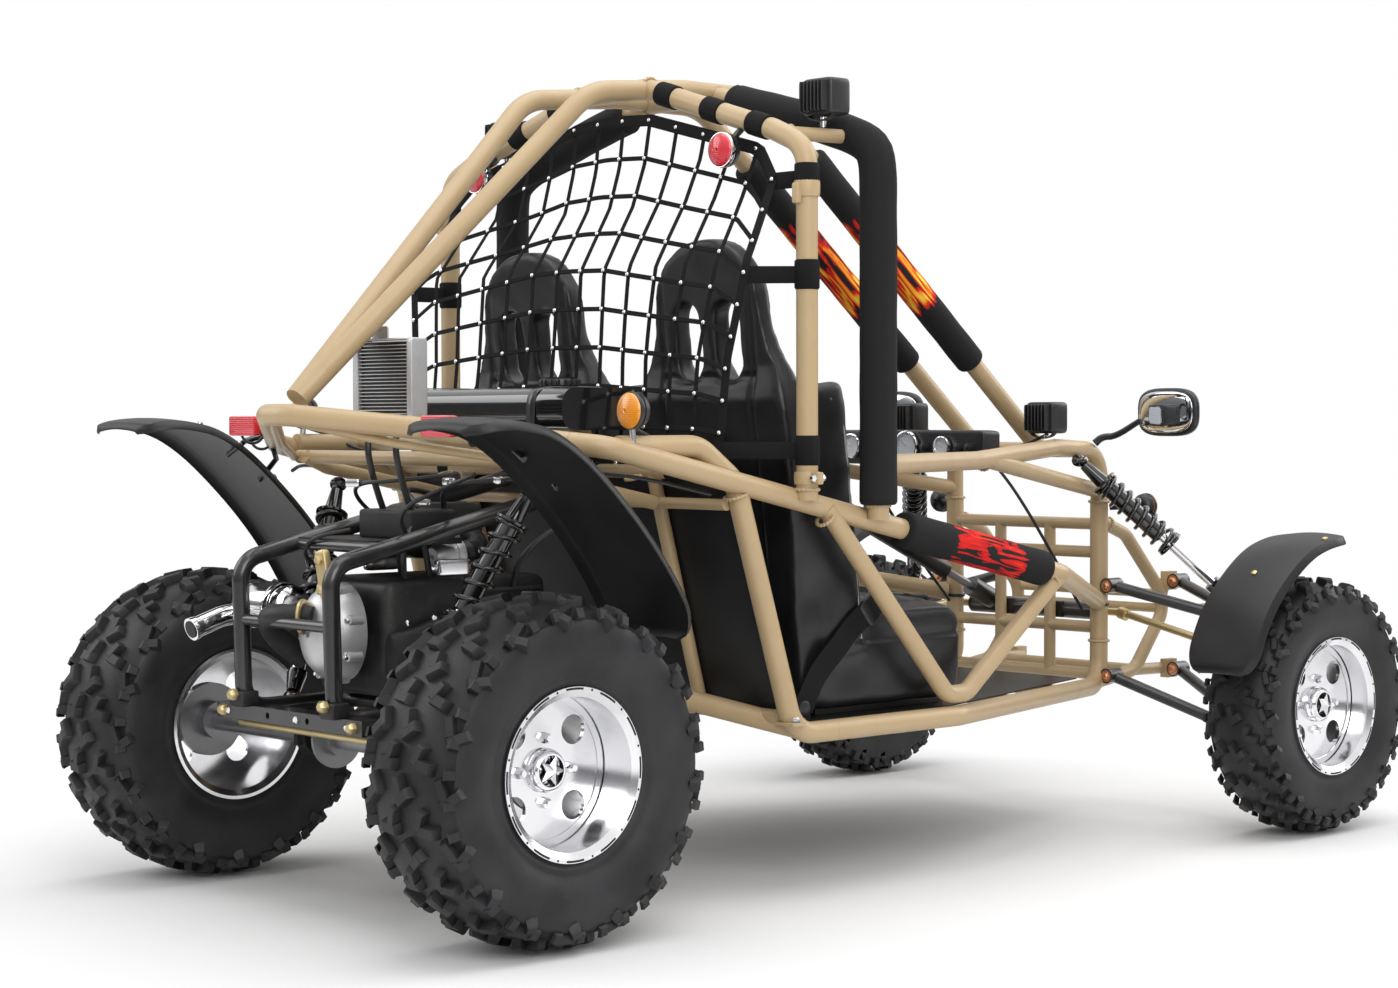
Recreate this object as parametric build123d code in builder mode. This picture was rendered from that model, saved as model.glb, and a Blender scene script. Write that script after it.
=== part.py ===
from build123d import *
from math import atan2, cos, radians, sin
import os

os.makedirs("parts", exist_ok=True)

# A two-seat off-road kart with a tube frame and a roof cage. Millimetres, +Y forward, +X to its right.
# Stations in the tables are measured from the rear axle, and at() moves them into the part's frame.

# wheels and axles
wheelbase = 1900.0
rear_track = 968.0
front_track = 1257.0
rear_tyre_radius = 285.0
rear_tyre_width = 232.0
front_tyre_radius = 261.0
front_tyre_width = 162.0
rim_seat_radius = 127.0
rim_lip_radius = 139.7
rear_rim_width = 194.0
front_rim_width = 146.0
rim_wall = 4.0
rear_disc_offset = 14.0
front_disc_offset = 20.0
disc_thickness = 8.0
axle_radius = 18.0
hub_radius = 34.0

# frame tubes
main_tube = 38.0
hood_tube = 32.0
small_tube = 25.0
pad_diameter = 68.0
bend = 70.0
gap = 0.3

# cage and rails
side_x = 490.0
centre_x = 93.0
rail_start_y = 150.0
rail_start_z = 799.0
rail_slope = -0.222
gusset_y = 1288.0
tail_y = -168.0
tail_z = 853.0
rear_hoop_x = 512.0
rear_hoop_y = 582.0
front_hoop_x = 522.0
front_hoop_y = 750.0
hoop_corner_z = 1318.0
hoop_top_z = 1455.0
rail_low_x = 500.0
rail_low_z = 296.0
rail_low_rear_y = 560.0
rail_low_mid_y = 985.0
nose_x = 205.0
nose_post_y = 1757.0
nose_low_z = 277.0
nose_top_z = 776.0
nose_front_y = 1972.0

# suspension and steering
kingpin_low_x = 538.0
kingpin_low_z = 178.0
kingpin_top_x = 518.0
kingpin_top_z = 415.0
arm_pivot_x = 240.0
arm_rear_y = 1757.0
arm_front_y = 1985.0
arm_low_z = 300.0
arm_top_z = 491.0
rack_y = 1790.0
rack_z = 432.0
tie_end_x = 508.0
tie_end_z = 374.0
steer_arm_z = 346.0
wheel_hub_x = -226.0
wheel_hub_y = 1090.0
wheel_hub_z = 800.0
steering_wheel_radius = 131.0
dash_y = 1400.0

rear_axle_y = -(wheelbase + front_tyre_radius - rear_tyre_radius) / 2
sides = (("left", -1), ("right", 1))


def at(x, y, z):
    return (x, y + rear_axle_y, z)


def rail_z(y):
    return rail_start_z + rail_slope * (y - rail_start_y)


def run(points, diameter, radius=bend, mode=Mode.ADD):
    # a round bar along straight runs joined by tangent arcs
    places = [Vector(*at(*point)) for point in points]
    with BuildLine(mode=Mode.PRIVATE) as path:
        if len(places) > 2:
            FilletPolyline(*places, radius=radius)
        else:
            Line(*places)
    with BuildSketch(Plane(origin=path.line @ 0, z_dir=path.line % 0), mode=Mode.PRIVATE) as ring:
        Circle(diameter / 2)
    sweep(sections=ring.sketch, path=path.line, mode=mode)


def mirrored(points, side):
    return [(side * x, y, z) for x, y, z in points]


def bar(start, end, diameter, mode=Mode.ADD):
    run([start, end], diameter, mode=mode)


def box_at(x, y, z, width, depth, height, mode=Mode.ADD, turn=(0, 0, 0)):
    with Locations(Location(at(x, y, z), turn)):
        Box(width, depth, height, mode=mode)


def disc_at(x, y, z, radius, length, axis="X", mode=Mode.ADD):
    turns = {"X": (0, 90, 0), "Y": (90, 0, 0), "Z": (0, 0, 0)}
    with Locations(Location(at(x, y, z), turns[axis])):
        Cylinder(radius, length, mode=mode)


def write(piece, label):
    piece.part.label = label
    export_step(piece.part, f"parts/{label}.step")


# frame tubes: each list is one bent tube of the right side, as x, y, z
rail_gusset_z = rail_z(gusset_y)
rail_knee = (side_x, rail_start_y, rail_start_z)
tail_corner = (32, tail_y, tail_z)
knee_share = 0.12
tail_joint = tuple(k + knee_share * (t - k) for k, t in zip(rail_knee, tail_corner))
post_joint_z = nose_low_z + 100
hood_joint_z = nose_top_z - 110
loop_joint_y = rail_low_rear_y + 95

upper_rail = [
    tail_joint,
    rail_knee,
    (side_x, gusset_y, rail_gusset_z),
    (nose_x + 10, nose_post_y - 18, rail_gusset_z - 88),
]
seat_upright = [
    (side_x - 18, rail_start_y + 34, rail_start_z),
    (side_x - 18, 362, rail_start_z),
    (side_x - 10, 440, rail_z(440) + 2),
    (rail_low_x, rail_low_rear_y, rail_low_z),
    (rail_low_x, loop_joint_y, rail_low_z),
]
tank_y = 325.0
tank_low_z = 826.0


def seat_plane(z):
    # the plane of the frame behind the seats leans back as it rises
    return 440 + (rail_z(440) + 2 - z) * 0.273


seat_post = [(272, seat_plane(752), 752), (272, seat_plane(325), 325)]
high_seat_bar = [(-478, seat_plane(752), 752), (478, seat_plane(752), 752)]
low_seat_bar = [(-492, seat_plane(325), 325), (492, seat_plane(325), 325)]
lower_rail = [
    (rail_low_x, loop_joint_y + gap, rail_low_z),
    (rail_low_x, rail_low_mid_y, rail_low_z),
    (nose_x, nose_post_y, nose_low_z),
    (nose_x, nose_post_y, post_joint_z),
]
rear_low_rail = [
    (rail_low_x - 8, rail_low_rear_y + 30, rail_low_z + 6),
    (300, 470, 352),
]
side_vee = [
    (rail_low_x - 6, 645, rail_z(645)),
    (rail_low_x - 4, 958, rail_low_z + 40),
    (rail_low_x - 4, 1010, rail_low_z + 40),
    (side_x - 2, gusset_y, rail_gusset_z),
]
nose_post = [(nose_x, nose_post_y, post_joint_z + gap), (nose_x, nose_post_y, hood_joint_z)]
nose_loop = [
    (nose_x, nose_post_y, 628),
    (nose_x, nose_post_y + 88, 596),
    (nose_x, nose_front_y, 462),
    (nose_x, nose_front_y, 418),
    (nose_x, nose_post_y + 120, 302),
    (nose_x, nose_post_y, nose_low_z + 8),
]
hood_rail = [
    (nose_x, nose_post_y, hood_joint_z + gap),
    (nose_x, nose_post_y, nose_top_z),
    (nose_x + 12, 1600, nose_top_z + 8),
    (345, 1210, 763),
    (front_hoop_x, front_hoop_y, 763),
]
hood_brace = [(330, 1255, 764), (nose_x, nose_post_y, 690)]
hood_bar = [(-nose_x, 1690, nose_top_z + 2), (nose_x, 1690, nose_top_z + 2)]
dash_bar = [(-268, dash_y + 45, 770), (268, dash_y + 45, 770)]
rear_hoop_line = [
    (rear_hoop_x, rear_hoop_y, rail_z(rear_hoop_y)),
    (rear_hoop_x, rear_hoop_y, hoop_corner_z),
    (430, rear_hoop_y, hoop_corner_z + 35),
    (centre_x, rear_hoop_y, hoop_top_z),
]
front_hoop_line = [
    (front_hoop_x, front_hoop_y, rail_z(front_hoop_y)),
    (front_hoop_x, front_hoop_y, hoop_corner_z - 5),
    (430, front_hoop_y, hoop_corner_z + 45),
    (centre_x, front_hoop_y, hoop_top_z),
]
roof_line = [
    (4, -128, 882),
    (centre_x, 443, 1440),
    (centre_x, 671, hoop_top_z + 5),
    (centre_x - 2, 879, hoop_top_z + 5),
    (centre_x - 4, 1690, nose_top_z + 12),
]


def whole(points):
    # a line and its mirror image as one path over the centre plane
    return points + [(-x, y, z) for x, y, z in reversed(points)]


def both(points, diameter, radius=bend, mode=Mode.ADD):
    # the same bar on the left and the right
    for _, side in sides:
        run(mirrored(points, side), diameter, radius, mode)


def cope(*lines):
    # bar ends are cut back to the bars that they meet, less a hair's gap
    for points, diameter, radius in lines:
        both(points, diameter + 2 * gap, radius, Mode.SUBTRACT)


print("frame")
with BuildPart() as side_rails:
    both(upper_rail, main_tube, 60)
    both(nose_post, main_tube + 2 * gap, mode=Mode.SUBTRACT)
write(side_rails, "side_rails")

with BuildPart() as tail_frame:
    tail_end = tuple(j + (t - j) * 0.001 for j, t in zip(tail_joint, tail_corner))
    run(whole([tail_end, tail_corner]), main_tube, 40)
    both([(20, -166, 845), (175, -48, 805), (330, 84, 777)], 16, 120)
    run([(-330, 96, 777), (330, 96, 777)], small_tube)
    both([(292, 84, 778), (292, 130, 757), (292, 420, 698)], small_tube, 30)
    run([(-470, 430, 698), (470, 430, 698)], 20)
    cope((seat_upright, main_tube, 60))
    both(seat_post, small_tube + 2 * gap, mode=Mode.SUBTRACT)
write(tail_frame, "tail_frame")

with BuildPart() as seat_frame:
    both(seat_upright, main_tube, 60)
    both(seat_post, small_tube)
    run(high_seat_bar, small_tube)
    run(low_seat_bar, small_tube)
    run([(-472, tank_y, rail_start_z), (472, tank_y, rail_start_z)], small_tube)
    saddle_height = tank_low_z - rail_start_z - 8 - gap
    for saddle_x in (-180, 180):
        box_at(saddle_x, tank_y, (rail_start_z + tank_low_z) / 2 + 4, 40, 60, saddle_height)
    cope((upper_rail, main_tube, 60))
write(seat_frame, "seat_frame")

with BuildPart() as lower_frame:
    both(lower_rail, main_tube, 60)
    both(rear_low_rail, main_tube)
    run([(-300, 470, 352), (300, 470, 352)], main_tube)
    for cross_y, cross_x in ((760, 490), (1010, 484), (1300, 380), (1560, 270)):
        cross_z = rail_low_z - (cross_y - rail_low_mid_y) * 0.024 * (cross_y > rail_low_mid_y)
        run([(-cross_x, cross_y, cross_z), (cross_x, cross_y, cross_z)], small_tube)
    cope((seat_upright, main_tube, 60))
    run(low_seat_bar, small_tube + 2 * gap, mode=Mode.SUBTRACT)
    both(seat_post, small_tube + 2 * gap, mode=Mode.SUBTRACT)
write(lower_frame, "lower_frame")

with BuildPart() as side_vees:
    both(side_vee, main_tube - 4, 42)
    cope((upper_rail, main_tube, 60), (lower_rail, main_tube, 60))
write(side_vees, "side_vees")

with BuildPart() as nose_frame:
    both(nose_post, main_tube)
    both(nose_loop, small_tube + 3, 55)
    for cross_z in (620, 560, 400):
        run([(-nose_x, nose_post_y, cross_z), (nose_x, nose_post_y, cross_z)], small_tube)
    for cross_z in (462, 430):
        run([(-nose_x, nose_front_y, cross_z), (nose_x, nose_front_y, cross_z)], 20)
    run([(-nose_x, nose_post_y + 120, 302), (nose_x, nose_post_y + 120, 302)], small_tube)
    both([(70, nose_post_y, 620), (70, nose_post_y, 300)], small_tube)
    run([(-nose_x, nose_post_y, 300), (nose_x, nose_post_y, 300)], small_tube)
    for pivot_z in (arm_low_z, arm_top_z):
        for _, side in sides:
            reach = arm_pivot_x - nose_x - 16 - gap
            box_at(side * (nose_x + reach / 2), arm_front_y, pivot_z, reach, 34, 40)
    both([(nose_x, nose_front_y, 462), (nose_x, arm_front_y, arm_top_z)], small_tube)
    both([(nose_x, nose_post_y + 120, 302), (nose_x, arm_front_y, arm_low_z)], small_tube)
    cope((lower_rail, main_tube, 60), (upper_rail, main_tube, 60))
write(nose_frame, "nose_frame")

with BuildPart() as hood_frame:
    both(hood_rail, hood_tube + 4, 60)
    both(hood_brace, hood_tube)
    run(hood_bar, hood_tube)
    run(dash_bar, small_tube)
    cope((front_hoop_line, main_tube, 90))
write(hood_frame, "hood_frame")

with BuildPart() as rear_hoop:
    run(whole(rear_hoop_line), main_tube, 60)
    both([(446, rear_hoop_y, hoop_corner_z + 28), (462, front_hoop_y, hoop_corner_z + 30)], small_tube)
    cope((roof_line, main_tube, 120), (upper_rail, main_tube, 60), (front_hoop_line, main_tube, 90))
write(rear_hoop, "rear_hoop")

with BuildPart() as front_hoop:
    run(whole(front_hoop_line), main_tube, 90)
    cope((roof_line, main_tube, 120), (upper_rail, main_tube, 60))
write(front_hoop, "front_hoop")

with BuildPart() as roof_tubes:
    both(roof_line, main_tube, 120)
    run(hood_bar, hood_tube + 2 * gap, mode=Mode.SUBTRACT)
    run(whole([tail_end, tail_corner]), main_tube + 2 * gap, 40, Mode.SUBTRACT)
write(roof_tubes, "roof_tubes")

print("panels and seats")


def strip(points, wall, radius, x0, x1, mode=Mode.ADD):
    # a curved sheet: its side view along Y and Z, stretched from x0 to x1
    with BuildSketch(Plane.YZ.offset(x0), mode=Mode.PRIVATE) as panel:
        with BuildLine():
            spine = FilletPolyline(*[(y + rear_axle_y, z) for y, z in points], radius=radius)
            offset(spine.edges(), amount=wall / 2, side=Side.BOTH)
        make_face()
    extrude(to_extrude=panel.sketch, amount=x1 - x0, mode=mode)


floor_top = rail_low_z + small_tube / 2 + gap + 2.5
floor_half = rail_low_x - 22
pan_front_y = nose_post_y - 45
with BuildPart() as floor_pan:
    with BuildSketch(Plane.YZ.offset(-floor_half)):
        with BuildLine():
            slope_end = floor_top - (pan_front_y - rail_low_mid_y) * 0.024
            rear_y = seat_plane(floor_top) + 16 + rear_axle_y
            mid_y = rail_low_mid_y + rear_axle_y
            front_y = pan_front_y + rear_axle_y
            Polyline(
                (rear_y, floor_top - 2.5), (rear_y, floor_top), (mid_y, floor_top), (front_y, slope_end),
                (front_y, slope_end - 2.5), (mid_y, floor_top - 2.5), close=True,
            )
        make_face()
    extrude(amount=2 * floor_half)
    with BuildSketch(Plane.XY):
        with BuildLine():
            half = [(floor_half, rear_y - 1), (floor_half, mid_y - 20), (nose_x - 24, front_y + 1)]
            Polyline(*half, *[(-x, y) for x, y in reversed(half)], close=True)
        make_face()
    extrude(amount=600, mode=Mode.INTERSECT)
    both(rear_low_rail, main_tube + 2 * gap, mode=Mode.SUBTRACT)
write(floor_pan, "floor_pan")

firewall_offset = (small_tube / 2 + gap + 1.5) / cos(atan2(0.273, 1))
with BuildPart() as firewall:
    panel_centre = at(0, seat_plane(545) + firewall_offset, 545)
    with BuildSketch(Plane(origin=panel_centre, x_dir=(1, 0, 0), z_dir=(0, -1, -0.273))):
        with BuildLine():
            Polyline((-474, -228), (474, -228), (462, 150), (448, 225), (-448, 225), (-462, 150), close=True)
        make_face()
    extrude(amount=1.5, both=True)
    both(rear_low_rail, main_tube + 2 * gap, mode=Mode.SUBTRACT)
write(firewall, "firewall")

# seats: a leaning back with two belt slots, side bolsters and a deep cushion
seat_x = 257.0
seat_half = 203.0
seat_base_y = 640.0
seat_low_z = 322.0
cushion_low_z = 324.0
back_lean = 0.115
back_height = 850.0
back_thickness = 70.0
head_half = 150.0
for side_name, side in sides:
    with BuildPart() as seat:
        back_origin = at(side * seat_x, seat_base_y, seat_low_z)
        back_plane = Plane(origin=back_origin, x_dir=(1, 0, 0), z_dir=(0, -1, -back_lean))
        with BuildSketch(back_plane):
            with BuildLine():
                low = seat_half - 12
                Polyline((low, 0), (low, 200), (seat_half, 300), (seat_half, 500))
                ThreePointArc((seat_half, 500), (seat_half - 14, 580), (head_half, 650))
                Line((head_half, 650), (head_half - 20, 770))
                ThreePointArc((head_half - 20, 770), (0, back_height), (20 - head_half, 770))
                Line((20 - head_half, 770), (-head_half, 650))
                ThreePointArc((-head_half, 650), (14 - seat_half, 580), (-seat_half, 500))
                Polyline((-seat_half, 500), (-seat_half, 300), (-low, 200), (-low, 0), (low, 0))
            make_face()
            with Locations((-52, 665), (52, 665)):
                SlotOverall(130, 52, rotation=90, mode=Mode.SUBTRACT)
        extrude(amount=-back_thickness)
        with BuildSketch(back_plane.offset(-back_thickness + 5)):
            with Locations((24 - seat_half, 330), (seat_half - 24, 330)):
                RectangleRounded(44, 500, 20)
        extrude(amount=-95)
        box_at(side * seat_x, seat_base_y + 230, cushion_low_z + 88, 2 * seat_half - 24, 370, 176)
        fillet(seat.part.edges().filter_by(Axis.X).group_by(Axis.Y)[-1], 45)
    write(seat, f"seat_{side_name}")

with BuildPart() as seat_mounts:
    for _, side in sides:
        for runner_x in (seat_x - 140, seat_x + 140):
            runner_height = cushion_low_z - floor_top - 2 * gap
            runner_z = (floor_top + cushion_low_z) / 2
            box_at(side * runner_x, seat_base_y + 230, runner_z, 30, 340, runner_height)
write(seat_mounts, "seat_mounts")

belt_x = seat_x + seat_half + 1
with BuildPart() as lap_belts:
    for _, side in sides:
        strip([(626, 352), (706, 440), (800, 508)], 44, 60, side * belt_x, side * (belt_x + 4))
        box_at(side * (belt_x + 2), 626, (floor_top + gap + 352) / 2, 8, 40, 352 - floor_top - gap)
write(lap_belts, "lap_belts")

net_thickness = 4.0
net_low_z = 766.0
with BuildPart() as roll_net:
    with BuildSketch(Plane.YZ.offset(-rear_hoop_x)):
        with BuildLine():
            front = [(580, 1402), (571, 1319), (546, 1240), (470, 1120), (436, net_low_z)]
            face = [(y + rear_axle_y, z) for y, z in front]
            Polyline(*face, *[(y - net_thickness, z) for y, z in reversed(face)], close=True)
        make_face()
    extrude(amount=2 * rear_hoop_x)
    with BuildSketch(Plane.XZ.offset(-(600 + rear_axle_y))):
        with BuildLine():
            half = [(440, net_low_z), (440, 830), (478, 860), (478, 1240), (410, 1318), (110, 1401)]
            Polyline(*half, *[(-x, z) for x, z in reversed(half)], close=True)
        make_face()
    extrude(amount=300, mode=Mode.INTERSECT)
write(roll_net, "roll_net")

print("padding and belts")
roof_slope = (hoop_top_z - hoop_corner_z - 45) / (430 - centre_x)
pad_line = [
    (front_hoop_x, front_hoop_y, rail_z(front_hoop_y) + 64),
    (front_hoop_x, front_hoop_y, hoop_corner_z - 5),
    (430, front_hoop_y, hoop_corner_z + 45),
    (150, front_hoop_y, hoop_corner_z + 45 + roof_slope * 280),
]
roof_link = [(446, rear_hoop_y, hoop_corner_z + 28), (462, front_hoop_y, hoop_corner_z + 30)]
with BuildPart() as hoop_padding:
    both(pad_line, pad_diameter, 90)
    both(front_hoop_line, main_tube + 2 * gap, 90, Mode.SUBTRACT)
    both(roof_link, small_tube + 8, mode=Mode.SUBTRACT)
    both(hood_rail, hood_tube + 8, 60, Mode.SUBTRACT)
write(hoop_padding, "hoop_padding")


def along(line, share):
    return tuple(s + (e - s) * share for s, e in zip(*line))


screen_tube = roof_line[3:5]
rail_run = upper_rail[1:3]
with BuildPart() as tube_padding:
    both([along(screen_tube, 0.16), along(screen_tube, 0.74)], pad_diameter - 6)
    both([along(rail_run, 0.61), along(rail_run, 0.955)], pad_diameter)
    cope((roof_line, main_tube, 120), (upper_rail, main_tube, 60))
    both(side_vee, main_tube - 4 + 2 * gap, 42, Mode.SUBTRACT)
write(tube_padding, "tube_padding")

print("engine bay")
cradle_x = 137.0
cradle_tube = 30.0
engine_low_z = 363.0
with BuildPart() as engine_cradle:
    cradle_line = [
        (cradle_x, 455, 352),
        (cradle_x, -150, 345),
        (cradle_x, -157, 601),
        (cradle_x, 425, 734),
    ]
    both(cradle_line, cradle_tube, 45)
    for rest_y in (40, 290):
        run([(-cradle_x, rest_y, 350), (cradle_x, rest_y, 350)], small_tube)
    run([(-cradle_x, -154, 500), (cradle_x, -154, 500)], 20)
    run([(-cradle_x, -40, 627), (cradle_x, -40, 627)], 20)
    box_at(0, -133, 338, 438, 40, 26)
    for hole_x in (-60, 60):
        disc_at(hole_x, -133, 338, 5.5, 44, "Y", mode=Mode.SUBTRACT)
    for _, side in sides:
        box_at(side * (cradle_x + 4), 0, 316, 12, 84, 90)
        disc_at(side * (cradle_x + 4), 0, rear_tyre_radius, 34, 30)
        disc_at(side * (cradle_x + 4), 0, rear_tyre_radius, axle_radius + 0.6, 60, mode=Mode.SUBTRACT)
        disc_at(side * (cradle_x + 20), -30, 352, 8, 20)
    run([(-300, 470, 352), (300, 470, 352)], main_tube + 2 * gap, mode=Mode.SUBTRACT)
    run([(-470, 430, 698), (470, 430, 698)], 20 + 2 * gap, mode=Mode.SUBTRACT)
    run(high_seat_bar, small_tube + 2 * gap, mode=Mode.SUBTRACT)
write(engine_cradle, "engine_cradle")

with BuildPart() as engine_block:
    box_at(0, 145, (engine_low_z + 575) / 2, 224, 370, 575 - engine_low_z)
    fillet(engine_block.part.edges().filter_by(Axis.X), 24)
write(engine_block, "engine_block")

with BuildPart() as gear_case:
    box_at(20, -78, 476, 110, 75, 150)
    fillet(gear_case.part.edges().filter_by(Axis.Y), 20)
    disc_at(20, -122, 500, 38, 14, "Y")
write(gear_case, "gear_case")

with BuildPart() as muffler:
    disc_at(-150, -86, 520, 41, 150)
    run([(-112.3, 80, 490), (-150, 80, 490), (-150, -60, 515)], 30, 30)
    run([(-205, -105, 505), (-205, -150, 500), (-205, -215, 480)], 38, 60)
write(muffler, "muffler")

cooler_top_z = 985.0
with BuildPart() as oil_cooler:
    box_at(37, 37, 917, 174, 36, 2 * (cooler_top_z - 917))
    box_at(10, 37, cooler_top_z + 14, 50, 24, 30)
    run([(-4, 30, 851), (-4, 10, 800), (-4, 60, 660), (-4, 90, 573)], 12, 20)
    run([(78, 30, 851), (78, 10, 800), (78, 60, 660), (78, 90, 573)], 12, 20)
    cope((roof_line, main_tube, 120))
    box_at(0, 145, (engine_low_z + 575) / 2, 226, 370, 575.6 - engine_low_z, mode=Mode.SUBTRACT)
write(oil_cooler, "oil_cooler")

with BuildPart() as fuel_tank:
    box_at(0, tank_y, tank_low_z + 37, 530, 180, 74)
    fillet(fuel_tank.part.edges().filter_by(Axis.X), 28)
    disc_at(150, tank_y, tank_low_z + 80, 32, 26, "Z")
write(fuel_tank, "fuel_tank")

# suspension struts: upper eye, lower eye, and the spring's two ends as shares of that line
rear_strut = [(284, 150, 725.4), (cradle_x + 34, -30, 352)]
front_strut = [(nose_x + 29.5, 1656, 756.5), (448, 1885, 466)]
strut_table = ((front_strut, 0.17, 0.60), (rear_strut, 0.15, 0.62))


def strut(line, side):
    (start, end) = mirrored(line, side)
    bar(start, end, 14)
    bar(along((start, end), 0.06), along((start, end), 0.55), 34)
    bar(along((start, end), 0.5), along((start, end), 0.94), 22)


def coil(line, side, low, high):
    start, end = mirrored(line, side)
    bar(along((start, end), low), along((start, end), high), 58)
    bar(along((start, end), low - 0.001), along((start, end), high + 0.001), 46, Mode.SUBTRACT)


with BuildPart() as strut_bodies:
    for _, side in sides:
        strut(rear_strut, side)
        strut(front_strut, side)
        disc_at(side * rear_strut[0][0], *rear_strut[0][1:], 14, 22)
        disc_at(side * rear_strut[1][0], *rear_strut[1][1:], 15, 20)
        disc_at(side * front_strut[0][0], *front_strut[0][1:], 14, 24, "Y")
        disc_at(side * front_strut[1][0], *front_strut[1][1:], 14, 24, "Y")
        disc_at(side * (cradle_x + 20), -30, 352, 8.3, 22, mode=Mode.SUBTRACT)
        for line, low, high in strut_table:
            start, end = mirrored(line, side)
            bar(along((start, end), low - 0.013), along((start, end), low - 0.0007), 60)
            bar(along((start, end), high + 0.0007), along((start, end), high + 0.013), 60)
write(strut_bodies, "strut_bodies")

with BuildPart() as strut_springs:
    for _, side in sides:
        for line, low, high in strut_table:
            coil(line, side, low, high)
write(strut_springs, "strut_springs")

print("wheels")


def turned(centre, profile, mode=Mode.ADD):
    # a ring about the wheel axis from a closed outline of x and radius
    side_plane = Plane(origin=at(*centre), x_dir=(1, 0, 0), z_dir=(0, -1, 0))
    with BuildSketch(side_plane, mode=Mode.PRIVATE) as ring:
        with BuildLine():
            Polyline(*profile, close=True)
        make_face()
    revolve(profiles=ring.sketch, axis=Axis(at(*centre), (1, 0, 0)), mode=mode)


def rim(centre, width, side, disc_offset):
    half = width / 2
    seat = rim_seat_radius
    lip = rim_lip_radius
    outline = [
        (-half, lip), (-half + 4, lip), (-half + 9, seat), (half - 9, seat), (half - 4, lip), (half, lip),
        (half, lip - 6), (half - 7, seat - rim_wall), (7 - half, seat - rim_wall), (-half, lip - 6),
    ]
    turned(centre, outline)
    x, y, z = centre
    face_x = x + side * disc_offset
    disc_at(face_x, y, z, seat - rim_wall + 1, disc_thickness)
    for turn in range(4):
        angle = radians(45 + 90 * turn)
        with Locations(Location(at(face_x, y + 86 * cos(angle), z + 86 * sin(angle)))):
            Cylinder(24, disc_thickness + 2, rotation=(0, 90, 0), mode=Mode.SUBTRACT)


def tyre(centre, radius, width, rim_width):
    bead = rim_width / 2 - 10
    half = width / 2
    outer = [
        (-bead, rim_seat_radius + gap), (-bead - 1, 142), (-half + 8, 160), (-half, radius * 0.70),
        (-half + 2, radius * 0.86), (-half + 16, radius - 10), (-half + 40, radius - 2), (0, radius),
    ]
    inner = [
        (0, radius - 16), (-half + 42, radius - 20), (-half + 14, radius * 0.8),
        (-half + 14, radius * 0.66), (-bead + 12, rim_seat_radius + gap),
    ]
    mirror_outer = [(-x, r) for x, r in reversed(outer[:-1])]
    mirror_inner = [(-x, r) for x, r in reversed(inner[1:])]
    turned(centre, outer + mirror_outer + mirror_inner + inner)


front_x = front_track / 2
rear_x = rear_track / 2
with BuildPart() as rear_rims:
    for _, side in sides:
        rim((side * rear_x, 0, rear_tyre_radius), rear_rim_width, side, rear_disc_offset)
write(rear_rims, "rear_rims")

with BuildPart() as rear_tyres:
    for _, side in sides:
        tyre((side * rear_x, 0, rear_tyre_radius), rear_tyre_radius, rear_tyre_width, rear_rim_width)
write(rear_tyres, "rear_tyres")

with BuildPart() as rear_axle:
    hub_face_x = rear_x + rear_disc_offset - disc_thickness / 2 - gap
    run([(-hub_face_x, 0, rear_tyre_radius), (hub_face_x, 0, rear_tyre_radius)], 2 * axle_radius)
    for _, side in sides:
        disc_at(side * (hub_face_x - 17), 0, rear_tyre_radius, hub_radius, 34)
        disc_at(side * (hub_face_x - 5), 0, rear_tyre_radius, 68, 10)
        disc_at(side * (cradle_x - 36), 0, rear_tyre_radius, 27, 24)
    disc_at(-(cradle_x - 62), 0, rear_tyre_radius, 52, 6)
    disc_at(-(cradle_x - 62), 0, rear_tyre_radius, 30, 40)
    disc_at(cradle_x + 75, 0, rear_tyre_radius, 92, 5)
    disc_at(cradle_x + 75, 0, rear_tyre_radius, 30, 36)
write(rear_axle, "rear_axle")

front_wheel_z = front_tyre_radius
for side_name, side in sides:
    centre = (side * front_x, wheelbase, front_wheel_z)
    with BuildPart() as front_rim:
        rim(centre, front_rim_width, side, front_disc_offset)
    write(front_rim, f"front_rim_{side_name}")
    with BuildPart() as front_tyre:
        tyre(centre, front_tyre_radius, front_tyre_width, front_rim_width)
    write(front_tyre, f"front_tyre_{side_name}")

print("front suspension")
hub_end_x = front_x + front_disc_offset - disc_thickness / 2 - gap
hub_start_x = front_x - 60
hub_length = hub_end_x - hub_start_x
spindle_radius = 13.0
fender_in_x = 540.0
fender_out_x = 710.0
front_fender_arc = [(1600, 340), (1668, 470), (1790, 574), (1955, 603)]


def kingpin(side, share):
    low = (side * kingpin_low_x, wheelbase, kingpin_low_z)
    top = (side * kingpin_top_x, wheelbase, kingpin_top_z)
    return along((low, top), share)


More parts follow.
